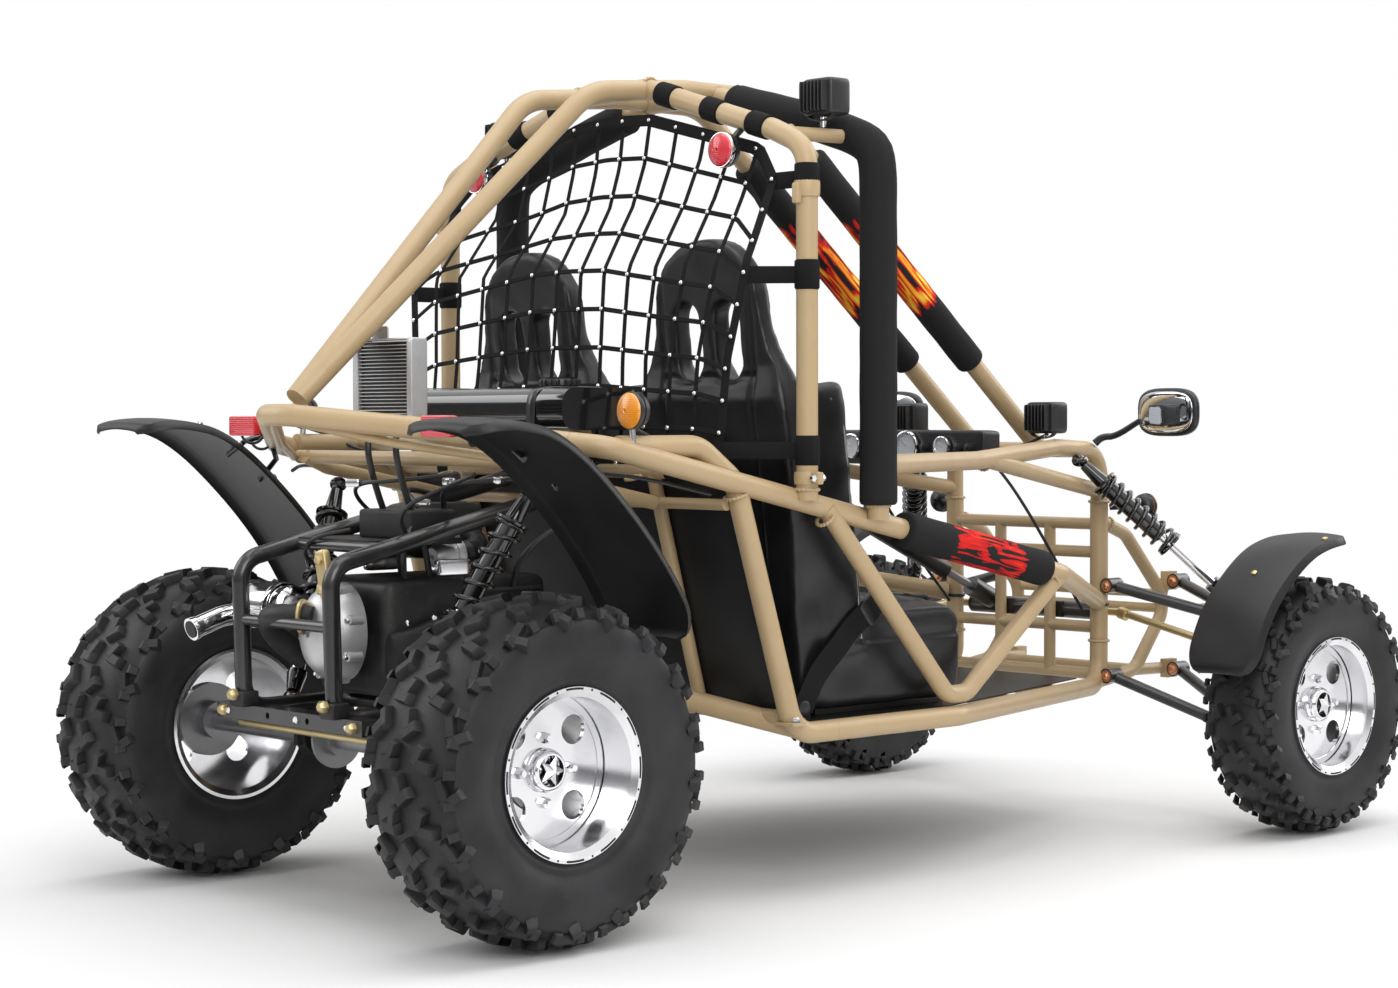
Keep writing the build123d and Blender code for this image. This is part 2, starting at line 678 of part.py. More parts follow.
for side_name, side in sides:
    with BuildPart() as front_hub:
        disc_at(side * (hub_start_x + hub_length / 2), wheelbase, front_wheel_z, hub_radius, hub_length)
        disc_at(side * (hub_end_x - 5), wheelbase, front_wheel_z, 66, 10)
        disc_at(side * (hub_start_x + 3), wheelbase, front_wheel_z, 84, 5)
        bore_x = hub_start_x + hub_length / 2 - 8
        disc_at(side * bore_x, wheelbase, front_wheel_z, spindle_radius + 0.6, hub_length, mode=Mode.SUBTRACT)
    write(front_hub, f"front_hub_{side_name}")

    with BuildPart() as knuckle:
        bar(kingpin(side, 0.0375), kingpin(side, 0.9625), 30)
        stub_x = kingpin_low_x - 6
        stub_length = hub_end_x - 20 - stub_x
        disc_at(side * (stub_x + stub_length / 2), wheelbase, front_wheel_z, spindle_radius, stub_length)
        disc_at(side * (stub_x + 11), wheelbase, front_wheel_z, 24, 18)
        bar((side * 524, wheelbase, steer_arm_z), (side * tie_end_x, rack_y, steer_arm_z), 15)
        disc_at(side * tie_end_x, rack_y, steer_arm_z + 4, 22, 8, "Z")
        box_at(side * (hub_start_x + 3), wheelbase - 76, front_wheel_z + 12, 40, 44, 60)
        box_at(side * (hub_start_x + 3), wheelbase - 66, front_wheel_z + 12, 15, 44, 70, mode=Mode.SUBTRACT)
        bar((side * 536, wheelbase - 4, 268), (side * (hub_start_x - 12), wheelbase - 62, 272), 14)
        stay = [(524, 1897, 385), (537, 1868, 386), (541, 1790, 405), (541, 1722, 462), (553, 1718, 506)]
        run(mirrored(stay, side), 13, 14)
        strip(front_fender_arc, 3.6, 130, side * fender_in_x, side * fender_out_x, Mode.SUBTRACT)
    write(knuckle, f"knuckle_{side_name}")

for side_name, side in sides:
    with BuildPart() as front_fender:
        strip(front_fender_arc, 3, 130, side * fender_in_x, side * fender_out_x)
    write(front_fender, f"front_fender_{side_name}")

with BuildPart() as wishbones:
    for _, side in sides:
        for pivot_z, share in ((arm_low_z, 0.0), (arm_top_z, 1.0)):
            outer_end = kingpin(side, share)
            for pivot_y, reach_y in ((arm_rear_y, -10), (arm_front_y, 10)):
                pivot = (side * (arm_pivot_x + 0.6), pivot_y, pivot_z)
                bar(pivot, (outer_end[0] - side * 14, wheelbase + reach_y, outer_end[2]), 24)
                disc_at(*pivot, 16, 40, "Y")
        bar(kingpin(side, -0.035), kingpin(side, 0.035), 40)
        bar(kingpin(side, 0.965), kingpin(side, 1.035), 38)
        run([(side * 400, 1832, 446), (side * 400, 1938, 446)], 20)
        box_at(side * 448, 1893, 440, 60, 62, 10)
        box_at(side * 448, 1885, 447, 20, 24, 9)
        disc_at(side * 448, 1885, 466, 14.3, 60, "Y", mode=Mode.SUBTRACT)
        bar(kingpin(side, 0.0351), kingpin(side, 0.9649), 40, Mode.SUBTRACT)
    cope((lower_rail, main_tube, 60))
write(wishbones, "wishbones")

print("steering")
pinion = (-115, rack_y, rack_z + 8)
wheel_hub = (wheel_hub_x, wheel_hub_y, wheel_hub_z)
column = (wheel_hub, pinion)
rack_bar_radius = 8.0
shaft_radius = 9.0
with BuildPart() as steering_wheel:
    hub_place = at(*wheel_hub)
    shaft_way = Vector(*pinion) - Vector(*wheel_hub)
    wheel_plane = Plane(origin=hub_place, x_dir=(1, 0, 0), z_dir=-shaft_way)
    with BuildSketch(Plane(origin=hub_place, x_dir=wheel_plane.x_dir, z_dir=wheel_plane.y_dir)):
        with Locations((steering_wheel_radius - 13, 0)):
            Circle(13)
    revolve(axis=Axis(hub_place, wheel_plane.z_dir))
    with Locations(wheel_plane):
        Cylinder(34, 26)
        for turn in (30, 150, 270):
            with Locations(Location((0, 0, 0), (0, 0, turn))):
                with Locations((61, 0, 0)):
                    Box(110, 30, 8)
write(steering_wheel, "steering_wheel")

with BuildPart() as steering_shaft:
    bar(along(column, 0.0168), along(column, 0.966), 2 * shaft_radius)
write(steering_shaft, "steering_shaft")

with BuildPart() as steering_column:
    bar(along(column, 0.08), along(column, 0.80), 38)
    column_mid = along(column, (dash_y + 45 - wheel_hub_y) / (rack_y - wheel_hub_y))
    box_at(column_mid[0], column_mid[1], (column_mid[2] + 756) / 2 + 4, 30, 8, 756 - column_mid[2])
    run(dash_bar, small_tube + 2 * gap, mode=Mode.SUBTRACT)
    bar(along(column, 0.0), along(column, 0.9), 2 * shaft_radius + 1.2, Mode.SUBTRACT)
write(steering_column, "steering_column")

rack_reach = 178.0
with BuildPart() as rack_housing:
    disc_at(0, rack_y, rack_z, 19.6, 2 * rack_reach)
    bar(along(column, 0.90), along(column, 1.0), 44)
    for _, side in sides:
        box_at(side * 70, (nose_post_y + 12.9 + rack_y) / 2, rack_z, 44, rack_y - nose_post_y - 12.9, 34)
    disc_at(0, rack_y, rack_z, rack_bar_radius + 0.6, 2 * rack_reach + 4, mode=Mode.SUBTRACT)
    bar(along(column, 0.85), along(column, 0.97), 2 * shaft_radius + 1.2, Mode.SUBTRACT)
write(rack_housing, "rack_housing")

with BuildPart() as tie_rods:
    run([(-arm_pivot_x, rack_y, rack_z), (arm_pivot_x, rack_y, rack_z)], 2 * rack_bar_radius)
    for _, side in sides:
        bar((side * arm_pivot_x, rack_y, rack_z), (side * tie_end_x, rack_y, tie_end_z), 16)
        bar((side * (arm_pivot_x - 4), rack_y, rack_z), (side * (arm_pivot_x + 14), rack_y, rack_z - 5), 26)
        disc_at(side * tie_end_x, rack_y, tie_end_z - 4.5, 13, 16, "Z")
write(tie_rods, "tie_rods")

with BuildPart() as dashboard:
    box_at(0, dash_y + 1, 785, 430, 62, 74)
    fillet(dashboard.part.edges().filter_by(Axis.X), 14)
    for gauge_x, gauge_radius in ((-150, 27), (-85, 27), (10, 33), (110, 22)):
        disc_at(gauge_x, dash_y - 32, 787, gauge_radius, 12, "Y")
    run(dash_bar, small_tube + 2 * gap, mode=Mode.SUBTRACT)
    for bracket_x in (-150, 150):
        box_at(bracket_x, dash_y + 50, 790, 30, 50, 12)
write(dashboard, "dashboard")

pedal_table = ((-205, 62), (-132, 44))
with BuildPart() as pedals:
    pedal_floor_z = floor_top - (1600 - rail_low_mid_y) * 0.024
    box_at(-168, 1606, pedal_floor_z + 5, 150, 40, 8)
    for pedal_x, pad_width in pedal_table:
        bar((pedal_x, 1606, pedal_floor_z + 6), (pedal_x, 1570, pedal_floor_z + 140), 12)
        box_at(pedal_x, 1568, pedal_floor_z + 140, pad_width, 10, 56, turn=(15, 0, 0))
write(pedals, "pedals")

with BuildPart() as gear_lever:
    box_at(0, 900, floor_top + 5, 60, 110, 9)
    box_at(0, 900, floor_top + 60, 36, 70, 110)
    run([(0, 900, floor_top + 100), (0, 912, floor_top + 210), (0, 880, floor_top + 300)], 12, 80)
    with Locations(Location(at(0, 880, floor_top + 306))):
        Sphere(19)
write(gear_lever, "gear_lever")

print("fenders and lamps")
fender_line = [(-200, 842), (-60, 824), (128, 688), (252, 520), (256, 484)]
rear_fender_in = rear_x - rear_tyre_width / 2
rear_fender_out = rear_x + rear_tyre_width / 2
with BuildPart() as rear_fenders:
    for _, side in sides:
        strip(fender_line, 3, (60, 170, 24), side * rear_fender_in, side * rear_fender_out)
        for stay_y in (20, 88):
            share = (stay_y - tail_y) / (rail_start_y - tail_y)
            stay_z = tail_z + (rail_start_z - tail_z) * share
            tube_x = 32 + (side_x - 32) * share
            sheet_z = 824 - (stay_y + 60 - 8) * 0.7234
            sheet_x = max(tube_x, rear_fender_in + 18)
            bar((side * tube_x, stay_y, stay_z), (side * sheet_x, stay_y - 8, sheet_z), 12)
    both([tail_joint, rail_knee, upper_rail[2]], main_tube + 2 * gap, 60, Mode.SUBTRACT)
    run(whole([tail_end, tail_corner]), main_tube + 2 * gap, 40, Mode.SUBTRACT)
write(rear_fenders, "rear_fenders")

with BuildPart() as tail_lamps:
    for _, side in sides:
        disc_at(side * 354, 532, 1319, 32, 30, "Y")
        box_at(side * 354, 562, 1350, 20, 44, 26)
        box_at(side * 291, -46, 834, 84, 14, 36)
        box_at(side * 270, -32, 822, 20, 20, 12)
    both(rear_hoop_line, main_tube + 2 * gap, 60, Mode.SUBTRACT)
    run(whole([tail_end, tail_corner]), main_tube + 2 * gap, 40, Mode.SUBTRACT)
write(tail_lamps, "tail_lamps")

with BuildPart() as indicators:
    for _, side in sides:
        disc_at(side * 482, 206, 859, 30, 44, "Y")
        bar((side * 482, 206, 860), (side * 486, 206, rail_z(206)), 10)
        disc_at(side * 290, 1806, 659, 27, 44, "Y")
        bar((side * 290, 1800, 659), (side * nose_x, nose_post_y, 655), 12)
    both([tail_joint, rail_knee, upper_rail[2]], main_tube + 2 * gap, 60, Mode.SUBTRACT)
    both(seat_upright, main_tube + 2 * gap, 60, Mode.SUBTRACT)
    both(nose_post, main_tube + 2 * gap, mode=Mode.SUBTRACT)
write(indicators, "indicators")

with BuildPart() as lamp_pods:
    for _, side in sides:
        for pod_x, pod_y, pod_z, foot_z in ((196, 1589, 846, 784), (454, 680, 1415, 1347)):
            box_at(side * pod_x, pod_y, pod_z, 74, 70, 66)
            box_at(side * pod_x, pod_y, (pod_z + foot_z) / 2, 12, 26, pod_z - foot_z)
    both(hood_rail, hood_tube + 4 + 2 * gap, 60, Mode.SUBTRACT)
    both(roof_link, small_tube + 2 * gap, mode=Mode.SUBTRACT)
write(lamp_pods, "lamp_pods")

with BuildPart() as mirrors:
    for _, side in sides:
        box_at(side * 392, 1745, 857, 172, 24, 100)
    fillet(mirrors.part.edges().filter_by(Axis.Y), 30)
    for _, side in sides:
        run([(side * nose_x, 1720, 776), (side * 262, 1738, 800), (side * 330, 1750, 856)], 14, 40)
    both(hood_rail, hood_tube + 4 + 2 * gap, 60, Mode.SUBTRACT)
write(mirrors, "mirrors")
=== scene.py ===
import math
import bmesh
import bpy
import numpy as np
from mathutils import Matrix, Vector


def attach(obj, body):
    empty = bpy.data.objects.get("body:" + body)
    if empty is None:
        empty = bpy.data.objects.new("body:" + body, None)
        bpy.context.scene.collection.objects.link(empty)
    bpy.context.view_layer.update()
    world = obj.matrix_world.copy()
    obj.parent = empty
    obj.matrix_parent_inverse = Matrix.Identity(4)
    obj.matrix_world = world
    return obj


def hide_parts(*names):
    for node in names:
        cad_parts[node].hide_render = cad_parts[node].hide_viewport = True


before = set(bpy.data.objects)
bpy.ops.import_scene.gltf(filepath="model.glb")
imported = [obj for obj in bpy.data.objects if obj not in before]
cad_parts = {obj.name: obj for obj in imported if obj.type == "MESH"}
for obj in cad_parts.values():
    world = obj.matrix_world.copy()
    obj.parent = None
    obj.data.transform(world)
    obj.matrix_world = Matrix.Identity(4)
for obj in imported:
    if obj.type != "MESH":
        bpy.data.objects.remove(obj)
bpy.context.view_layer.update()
rearAxleY = -0.938        # all stations below are measured from the rear axle, as the frame's are
rng = np.random.default_rng(7)


def at(points):
    # stations from the rear axle become places in the shared frame
    return np.asarray(points, float) + np.array([0.0, rearAxleY, 0.0])


def onSide(points, side):
    # the same for the left side, -1, or the right one, 1
    return at(np.asarray(points) * [side, 1, 1])


print("camera and light")
view = dict(place=(3.7682, -3.5764, 0.8458), yaw=0.832, pitch=-0.026, roll=-0.002, lens=67.83, shiftY=-0.005)


def makeCamera():
    # yaw turns the view about the upright, pitch tips it, roll leans it; the camera looks along its own -Z
    yaw, pitch, roll = view["yaw"], view["pitch"], view["roll"]
    right = Vector((math.cos(yaw), math.sin(yaw), 0))
    look = Vector((-math.sin(yaw) * math.cos(pitch), math.cos(yaw) * math.cos(pitch), math.sin(pitch)))
    up = right.cross(look)
    tiltedRight = math.cos(roll) * right + math.sin(roll) * up
    tiltedUp = math.cos(roll) * up - math.sin(roll) * right
    turn = Matrix((tiltedRight, tiltedUp, -look)).transposed().to_4x4()
    data = bpy.data.cameras.new("camera")
    data.lens = view["lens"]
    data.sensor_width = 36
    data.shift_y = view["shiftY"]
    camera = bpy.data.objects.new("camera", data)
    bpy.context.collection.objects.link(camera)
    camera.matrix_world = Matrix.Translation(view["place"]) @ turn
    bpy.context.scene.camera = camera


makeCamera()
lamps = [  # place, size, watts
    ((0.5, 0.0, 5.0), 5.0, 150),
    ((4.5, -3.0, 3.2), 3.0, 110),
    ((-3.8, -3.5, 3.0), 3.0, 60),
    ((1.5, 5.0, 3.2), 3.5, 90),
]
for lampPlace, lampSize, lampWatts in lamps:
    lampData = bpy.data.lights.new("softLamp", "AREA")
    lampData.shape = "SQUARE"
    lampData.size = lampSize
    lampData.energy = lampWatts
    lamp = bpy.data.objects.new("softLamp", lampData)
    bpy.context.collection.objects.link(lamp)
    lamp.location = lampPlace
    lamp.rotation_euler = (Vector((0, 0, 0.5)) - Vector(lampPlace)).to_track_quat("-Z", "Y").to_euler()


# Shader groups give only colours, masks, values and normals
def newGroup(name, inputs, outputs):
    # a shader group with its sockets, and the nodes at its two ends
    group = bpy.data.node_groups.new(name, "ShaderNodeTree")
    for label, kind, value in inputs:
        socket = group.interface.new_socket(label, in_out="INPUT", socket_type=kind)
        socket.default_value = value
    for label, kind in outputs:
        group.interface.new_socket(label, in_out="OUTPUT", socket_type=kind)
    return group, group.nodes.new("NodeGroupInput"), group.nodes.new("NodeGroupOutput")


def addNode(tree, kind, links=(), **values):
    # one node with its values set and its sockets fed: links are (socket, output) pairs
    node = tree.nodes.new(kind)
    for label, value in values.items():
        if hasattr(node, label):
            setattr(node, label, value)
        else:
            node.inputs[label].default_value = value
    for socket, source in links:
        tree.links.new(source, node.inputs[socket])
    return node


def mathNode(tree, kind, first, second):
    # the sum, product or larger of two outputs
    return addNode(tree, "ShaderNodeMath", [(0, first), (1, second)], operation=kind).outputs[0]


def rangeNode(tree, source, low, high, smooth=False):
    # 0 up to the low value, 1 from the high one on, and a straight or an eased climb between
    node = addNode(tree, "ShaderNodeMapRange", [(0, source)])
    node.inputs[1].default_value = low
    node.inputs[2].default_value = high
    if smooth:
        node.interpolation_type = "SMOOTHSTEP"
    return node.outputs[0]


def noiseNode(tree, coord, scale, detail):
    # noise over the object's own places
    return addNode(tree, "ShaderNodeTexNoise", [("Vector", coord.outputs["Object"])], Scale=scale,
                   Detail=detail)


def paintGroup():
    # colour mixed towards a second one by broad noise, and a fine orange-peel height
    group, ins, outs = newGroup("paintCoat", [
        ("Color", "NodeSocketColor", (0.5, 0.5, 0.5, 1)), ("Worn", "NodeSocketColor", (0.3, 0.3, 0.3, 1)),
        ("Wear", "NodeSocketFloat", 0.3), ("Rough", "NodeSocketFloat", 0.4),
        ("Spread", "NodeSocketFloat", 0.1),
    ], [("Color", "NodeSocketColor"), ("Rough", "NodeSocketFloat"), ("Height", "NodeSocketFloat")])
    coord = addNode(group, "ShaderNodeTexCoord")
    broad = noiseNode(group, coord, 14.0, 6.0).outputs["Fac"]
    spots = noiseNode(group, coord, 160.0, 3.0).outputs["Fac"]
    peel = noiseNode(group, coord, 900.0, 1.0).outputs["Fac"]
    mask = rangeNode(group, broad, 0.48, 0.78)
    speck = rangeNode(group, spots, 0.62, 0.7)
    both = mathNode(group, "MULTIPLY", mask, ins.outputs["Wear"])
    spotted = mathNode(group, "MULTIPLY", speck, both)
    total = addNode(group, "ShaderNodeMath", [(0, both), (1, spotted)], operation="ADD", use_clamp=True)
    mixed = addNode(group, "ShaderNodeMix", [(0, total.outputs[0])], data_type="RGBA")
    group.links.new(ins.outputs["Color"], mixed.inputs[6])
    group.links.new(ins.outputs["Worn"], mixed.inputs[7])
    spread = mathNode(group, "MULTIPLY", broad, ins.outputs["Spread"])
    rough = mathNode(group, "ADD", ins.outputs["Rough"], spread)
    group.links.new(mixed.outputs[2], outs.inputs["Color"])
    group.links.new(rough, outs.inputs["Rough"])
    group.links.new(peel, outs.inputs["Height"])
    return group


def grainGroup():
    # moulded or leather grain: small cells, and a slow change of shade
    group, ins, outs = newGroup("grain", [
        ("Scale", "NodeSocketFloat", 400.0), ("Color", "NodeSocketColor", (0.02, 0.02, 0.02, 1)),
        ("Light", "NodeSocketColor", (0.05, 0.05, 0.05, 1)),
    ], [("Color", "NodeSocketColor"), ("Height", "NodeSocketFloat")])
    coord = addNode(group, "ShaderNodeTexCoord")
    cells = addNode(group, "ShaderNodeTexVoronoi", [("Vector", coord.outputs["Object"])])
    group.links.new(ins.outputs["Scale"], cells.inputs["Scale"])
    shade = rangeNode(group, noiseNode(group, coord, 9.0, 7.0).outputs["Fac"], 0.35, 0.85)
    mixed = addNode(group, "ShaderNodeMix", [(0, shade)], data_type="RGBA")
    group.links.new(ins.outputs["Color"], mixed.inputs[6])
    group.links.new(ins.outputs["Light"], mixed.inputs[7])
    group.links.new(mixed.outputs[2], outs.inputs["Color"])
    group.links.new(cells.outputs["Distance"], outs.inputs["Height"])
    return group


def weaveGroup():
    # two crossed wave bands make a plain weave
    group, ins, outs = newGroup("weave", [("Scale", "NodeSocketFloat", 350.0)],
                                [("Height", "NodeSocketFloat")])
    coord = addNode(group, "ShaderNodeTexCoord")
    bands = []
    for direction in ("DIAGONAL", "Z"):
        band = addNode(group, "ShaderNodeTexWave", [("Vector", coord.outputs["Object"])],
                       bands_direction=direction, Distortion=0.4, Detail=1.0)
        group.links.new(ins.outputs["Scale"], band.inputs["Scale"])
        bands.append(band.outputs["Fac"])
    group.links.new(mathNode(group, "MAXIMUM", *bands), outs.inputs["Height"])
    return group


groups = dict(paint=paintGroup(), grain=grainGroup(), weave=weaveGroup())


def newMaterial(name, metallic=0.0, rough=0.5, **sockets):
    # a plain shader; a socket's name has an underscore for each space
    material = bpy.data.materials.new(name)
    material.use_nodes = True
    tree = material.node_tree
    shader = tree.nodes["Principled BSDF"]
    shader.inputs["Metallic"].default_value = metallic
    shader.inputs["Roughness"].default_value = rough
    for label, value in sockets.items():
        shader.inputs[label.replace("_", " ")].default_value = value
    return material, tree, shader


def bumped(tree, shader, height, strength, distance):
    # the height, over the given distance in metres, tilts the surface's normal
    bump = addNode(tree, "ShaderNodeBump", [("Height", height)], Strength=strength, Distance=distance)
    tree.links.new(bump.outputs[0], shader.inputs["Normal"])


def grouped(tree, shader, kind, **values):
    # one node of a shader group, with its colour fed to the shader where it has one
    node = addNode(tree, "ShaderNodeGroup")
    node.node_tree = groups[kind]
    for label, value in values.items():
        node.inputs[label].default_value = value
    if "Color" in node.outputs:
        tree.links.new(node.outputs["Color"], shader.inputs["Base Color"])
    return node


def painted(name, color, worn, rough=0.35, wear=0.35, metallic=0.0, peel=0.12, spread=0.15, **sockets):
    # paint, plating or bare metal: two colours mixed by wear, and a fine peel
    material, tree, shader = newMaterial(name, metallic, rough, **sockets)
    node = grouped(tree, shader, "paint", Color=(*color, 1), Worn=(*worn, 1), Wear=wear, Rough=rough,
                   Spread=spread)
    tree.links.new(node.outputs["Rough"], shader.inputs["Roughness"])
    bumped(tree, shader, node.outputs["Height"], peel, 0.0004)
    return material


def grained(name, color, light, rough=0.5, scale=420.0, strength=0.25, **sockets):
    # moulded plastic, rubber or vinyl: small cells, darker and lighter in slow patches
    material, tree, shader = newMaterial(name, 0.0, rough, **sockets)
    node = grouped(tree, shader, "grain", Scale=scale, Color=(*color, 1), Light=(*light, 1))
    bumped(tree, shader, node.outputs["Height"], strength, 0.0006)
    return material


def woven(name, color, scale=420.0, strength=0.4, flames=None):
    # cloth, with an optional band of plain flame tongues that follows the sleeve's own length and turn
    material, tree, shader = newMaterial(name, 0.0, 0.85, Specular_IOR_Level=0.2)
    shader.inputs["Base Color"].default_value = (*color, 1)
    bumped(tree, shader, grouped(tree, shader, "weave", Scale=scale).outputs["Height"], strength, 0.0008)
    if flames:
        addFlames(tree, shader, color, flames)
    return material


def addFlames(tree, shader, color, flames):
    # noise stretched along the sleeve, times a window between start and end, gives the colour of each place
    along = addNode(tree, "ShaderNodeAttribute", attribute_name="along").outputs["Fac"]
    scaled = []
    for label, factor in (("along", "length"), ("aroundCos", "tongues"), ("aroundSin", "tongues")):
        source = addNode(tree, "ShaderNodeAttribute", attribute_name=label)
        times = addNode(tree, "ShaderNodeMath", [(0, source.outputs["Fac"])], operation="MULTIPLY")
        times.inputs[1].default_value = flames[factor]
        scaled.append(times.outputs[0])
    place = addNode(tree, "ShaderNodeCombineXYZ", list(enumerate(scaled)))
    noise = addNode(tree, "ShaderNodeTexNoise", [("Vector", place.outputs[0])], Scale=1.0, Detail=3.0,
                    Distortion=0.7)
    middle = rangeNode(tree, along, flames["start"], flames["start"] + 0.1, True)
    ending = rangeNode(tree, along, flames["end"], flames["end"] - 0.15, True)
    window = mathNode(tree, "MULTIPLY", middle, ending)
    heat = mathNode(tree, "MULTIPLY", window, noise.outputs["Fac"])
    ramp = addNode(tree, "ShaderNodeValToRGB", [(0, heat)])
    colors = ramp.color_ramp.elements
    colors[0].position = flames["edge"]
    colors[0].color = (*color, 1)
    colors[1].position = flames["edge"] + 0.015
    colors[1].color = (0.5, 0.012, 0.015, 1)
    for position, tone in flames["tones"]:
        colors.new(position).color = (*tone, 1)
    tree.links.new(ramp.outputs[0], shader.inputs["Base Color"])


tan = (0.47, 0.34, 0.185)
materials = {
    "tanPaint": painted("tanPaint", tan, (0.42, 0.29, 0.15), 0.38, 0.5, Coat_Weight=0.25,
                        Coat_Roughness=0.2),
    "blackPaint": painted("blackPaint", (0.012, 0.012, 0.013), (0.06, 0.055, 0.05), 0.25, 0.4,
                          Coat_Weight=0.5),
    "greySteel": painted("greySteel", (0.33, 0.33, 0.34), (0.16, 0.13, 0.1), 0.35, 0.4, metallic=0.9),
    "zinc": painted("zinc", (0.62, 0.5, 0.27), (0.4, 0.3, 0.15), 0.3, 0.4, metallic=0.9),
    "copper": painted("copper", (0.72, 0.36, 0.2), (0.4, 0.2, 0.1), 0.28, 0.4, metallic=0.95),
    "greyTrim": grained("greyTrim", (0.28, 0.28, 0.29), (0.36, 0.36, 0.37), 0.6, 900.0),
    "castAlloy": painted("castAlloy", (0.62, 0.62, 0.63), (0.35, 0.34, 0.33), 0.38, 0.4, metallic=0.85,
                         peel=0.4),
    "polished": painted("polished", (0.80, 0.80, 0.82), (0.55, 0.55, 0.56), 0.12, 0.45, metallic=1.0,
                        peel=0.03, spread=0.1),
    "chrome": painted("chrome", (0.8, 0.8, 0.82), (0.6, 0.6, 0.6), 0.08, 0.3, metallic=1.0, peel=0.02,
                      spread=0.05),
    "engineBlack": painted("engineBlack", (0.02, 0.02, 0.021), (0.08, 0.075, 0.07), 0.4, 0.5, metallic=0.3,
                           peel=0.5),
    "sheetPlastic": grained("sheetPlastic", (0.009, 0.009, 0.010), (0.022, 0.022, 0.023), 0.42, 900.0, 0.08,
                            Specular_IOR_Level=0.35),
    "shellPlastic": grained("shellPlastic", (0.012, 0.012, 0.013), (0.028, 0.028, 0.03), 0.35, 700.0, 0.15),
    "glossBlack": painted("glossBlack", (0.008, 0.008, 0.009), (0.02, 0.02, 0.02), 0.06, 0.2, peel=0.02,
                          spread=0.05, Coat_Weight=1.0),
    "vinyl": grained("vinyl", (0.007, 0.007, 0.008), (0.018, 0.018, 0.019), 0.33, 520.0, 0.25,
                     Specular_IOR_Level=0.45),
    "tyreRubber": grained("tyreRubber", (0.009, 0.009, 0.010), (0.034, 0.034, 0.037), 0.52, 260.0, 0.2,
                          Specular_IOR_Level=0.4),
    "webbing": woven("webbing", (0.009, 0.009, 0.01), 700.0, 0.5),
    "sleeveCloth": woven("sleeveCloth", (0.016, 0.016, 0.017), 480.0, 0.35),
    "screenSleeve": woven("screenSleeve", (0.016, 0.016, 0.017), 480.0, 0.35, dict(
        tongues=2.2, length=5.5, start=0.18, end=0.8, edge=0.40,
        tones=((0.5, (0.75, 0.03, 0.012)), (0.57, (0.95, 0.42, 0.02)), (0.64, (0.98, 0.72, 0.1))))),
    "railSleeve": woven("railSleeve", (0.016, 0.016, 0.017), 480.0, 0.35, dict(
        tongues=2.6, length=4.5, start=0.22, end=0.9, edge=0.47,
        tones=((0.60, (0.72, 0.02, 0.015)), (0.68, (0.9, 0.08, 0.02))))),
}


def lensMaterial(name, color, rough=0.12):
    # a coated lens with moulded rings
    material, tree, shader = newMaterial(name, 0.0, rough, Coat_Weight=1.0)
    shader.inputs["Base Color"].default_value = (*color, 1)
    coord = addNode(tree, "ShaderNodeTexCoord")
    rings = addNode(tree, "ShaderNodeTexWave", [("Vector", coord.outputs["Object"])], Scale=90.0,
                    bands_direction="Z")
    bumped(tree, shader, rings.outputs["Fac"], 0.35, 0.001)
    return material


materials["redLens"] = lensMaterial("redLens", (0.62, 0.012, 0.03))
materials["amberLens"] = lensMaterial("amberLens", (0.85, 0.3, 0.01))
materials["clearLens"] = lensMaterial("clearLens", (0.55, 0.58, 0.62), 0.06)
materials["mirrorGlass"] = painted("mirrorGlass", (0.75, 0.78, 0.82), (0.7, 0.7, 0.7), 0.03, 0.1,
                                   metallic=1.0, peel=0.0, spread=0.0)
# painted shade: plain black for the wheel lip's slots and dots, standing in for the shade inside their
# openings
materials["slotShade"] = grained("slotShade", (0.006, 0.006, 0.006), (0.012, 0.012, 0.012), 0.6)

nodeLooks = {
    "tanPaint": ["side_rails", "tail_frame", "seat_frame", "lower_frame", "side_vees", "nose_frame",
                 "hood_frame", "rear_hoop", "front_hoop", "roof_tubes"],
    "blackPaint": ["seat_mounts", "engine_cradle", "wishbones", "steering_column", "pedals", "rack_housing"],
    "engineBlack": ["engine_block", "knuckle_left", "knuckle_right"],
    "greySteel": ["rear_axle", "front_hub_left", "front_hub_right", "steering_shaft", "muffler"],
    "zinc": ["tie_rods"],
    "castAlloy": ["gear_case", "oil_cooler"],
    "polished": ["rear_rims", "front_rim_left", "front_rim_right"],
    "chrome": ["strut_bodies"],
    "sheetPlastic": ["rear_fenders", "front_fender_left", "front_fender_right", "firewall", "floor_pan"],
    "shellPlastic": ["dashboard", "lamp_pods", "steering_wheel", "gear_lever", "tail_lamps", "indicators",
                     "mirrors"],
    "glossBlack": ["fuel_tank"],
    "webbing": ["lap_belts", "roll_net"],
    "sleeveCloth": ["hoop_padding", "tube_padding"],
    "vinyl": ["seat_left", "seat_right"],
    "tyreRubber": ["rear_tyres", "front_tyre_left", "front_tyre_right"],
}
for look, names in nodeLooks.items():
    for nodeName in names:
        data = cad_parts[nodeName].data
        data.materials.clear()
        data.materials.append(materials[look])


# Every shape is (points, faces), worked out as whole arrays
def gridShape(points, closeU=False, closeV=False):
    # a sheet of quads over a grid of points, joined round in either direction
    nu, nv = points.shape[:2]
    u = np.arange(nu if closeU else nu - 1)
    v = np.arange(nv if closeV else nv - 1)
    uu, vv = np.meshgrid(u, v, indexing="ij")
    un, vn = (uu + 1) % nu, (vv + 1) % nv
    faces = np.stack([uu * nv + vv, un * nv + vv, un * nv + vn, uu * nv + vn], -1).reshape(-1, 4)
    return points.reshape(-1, 3), faces.tolist()


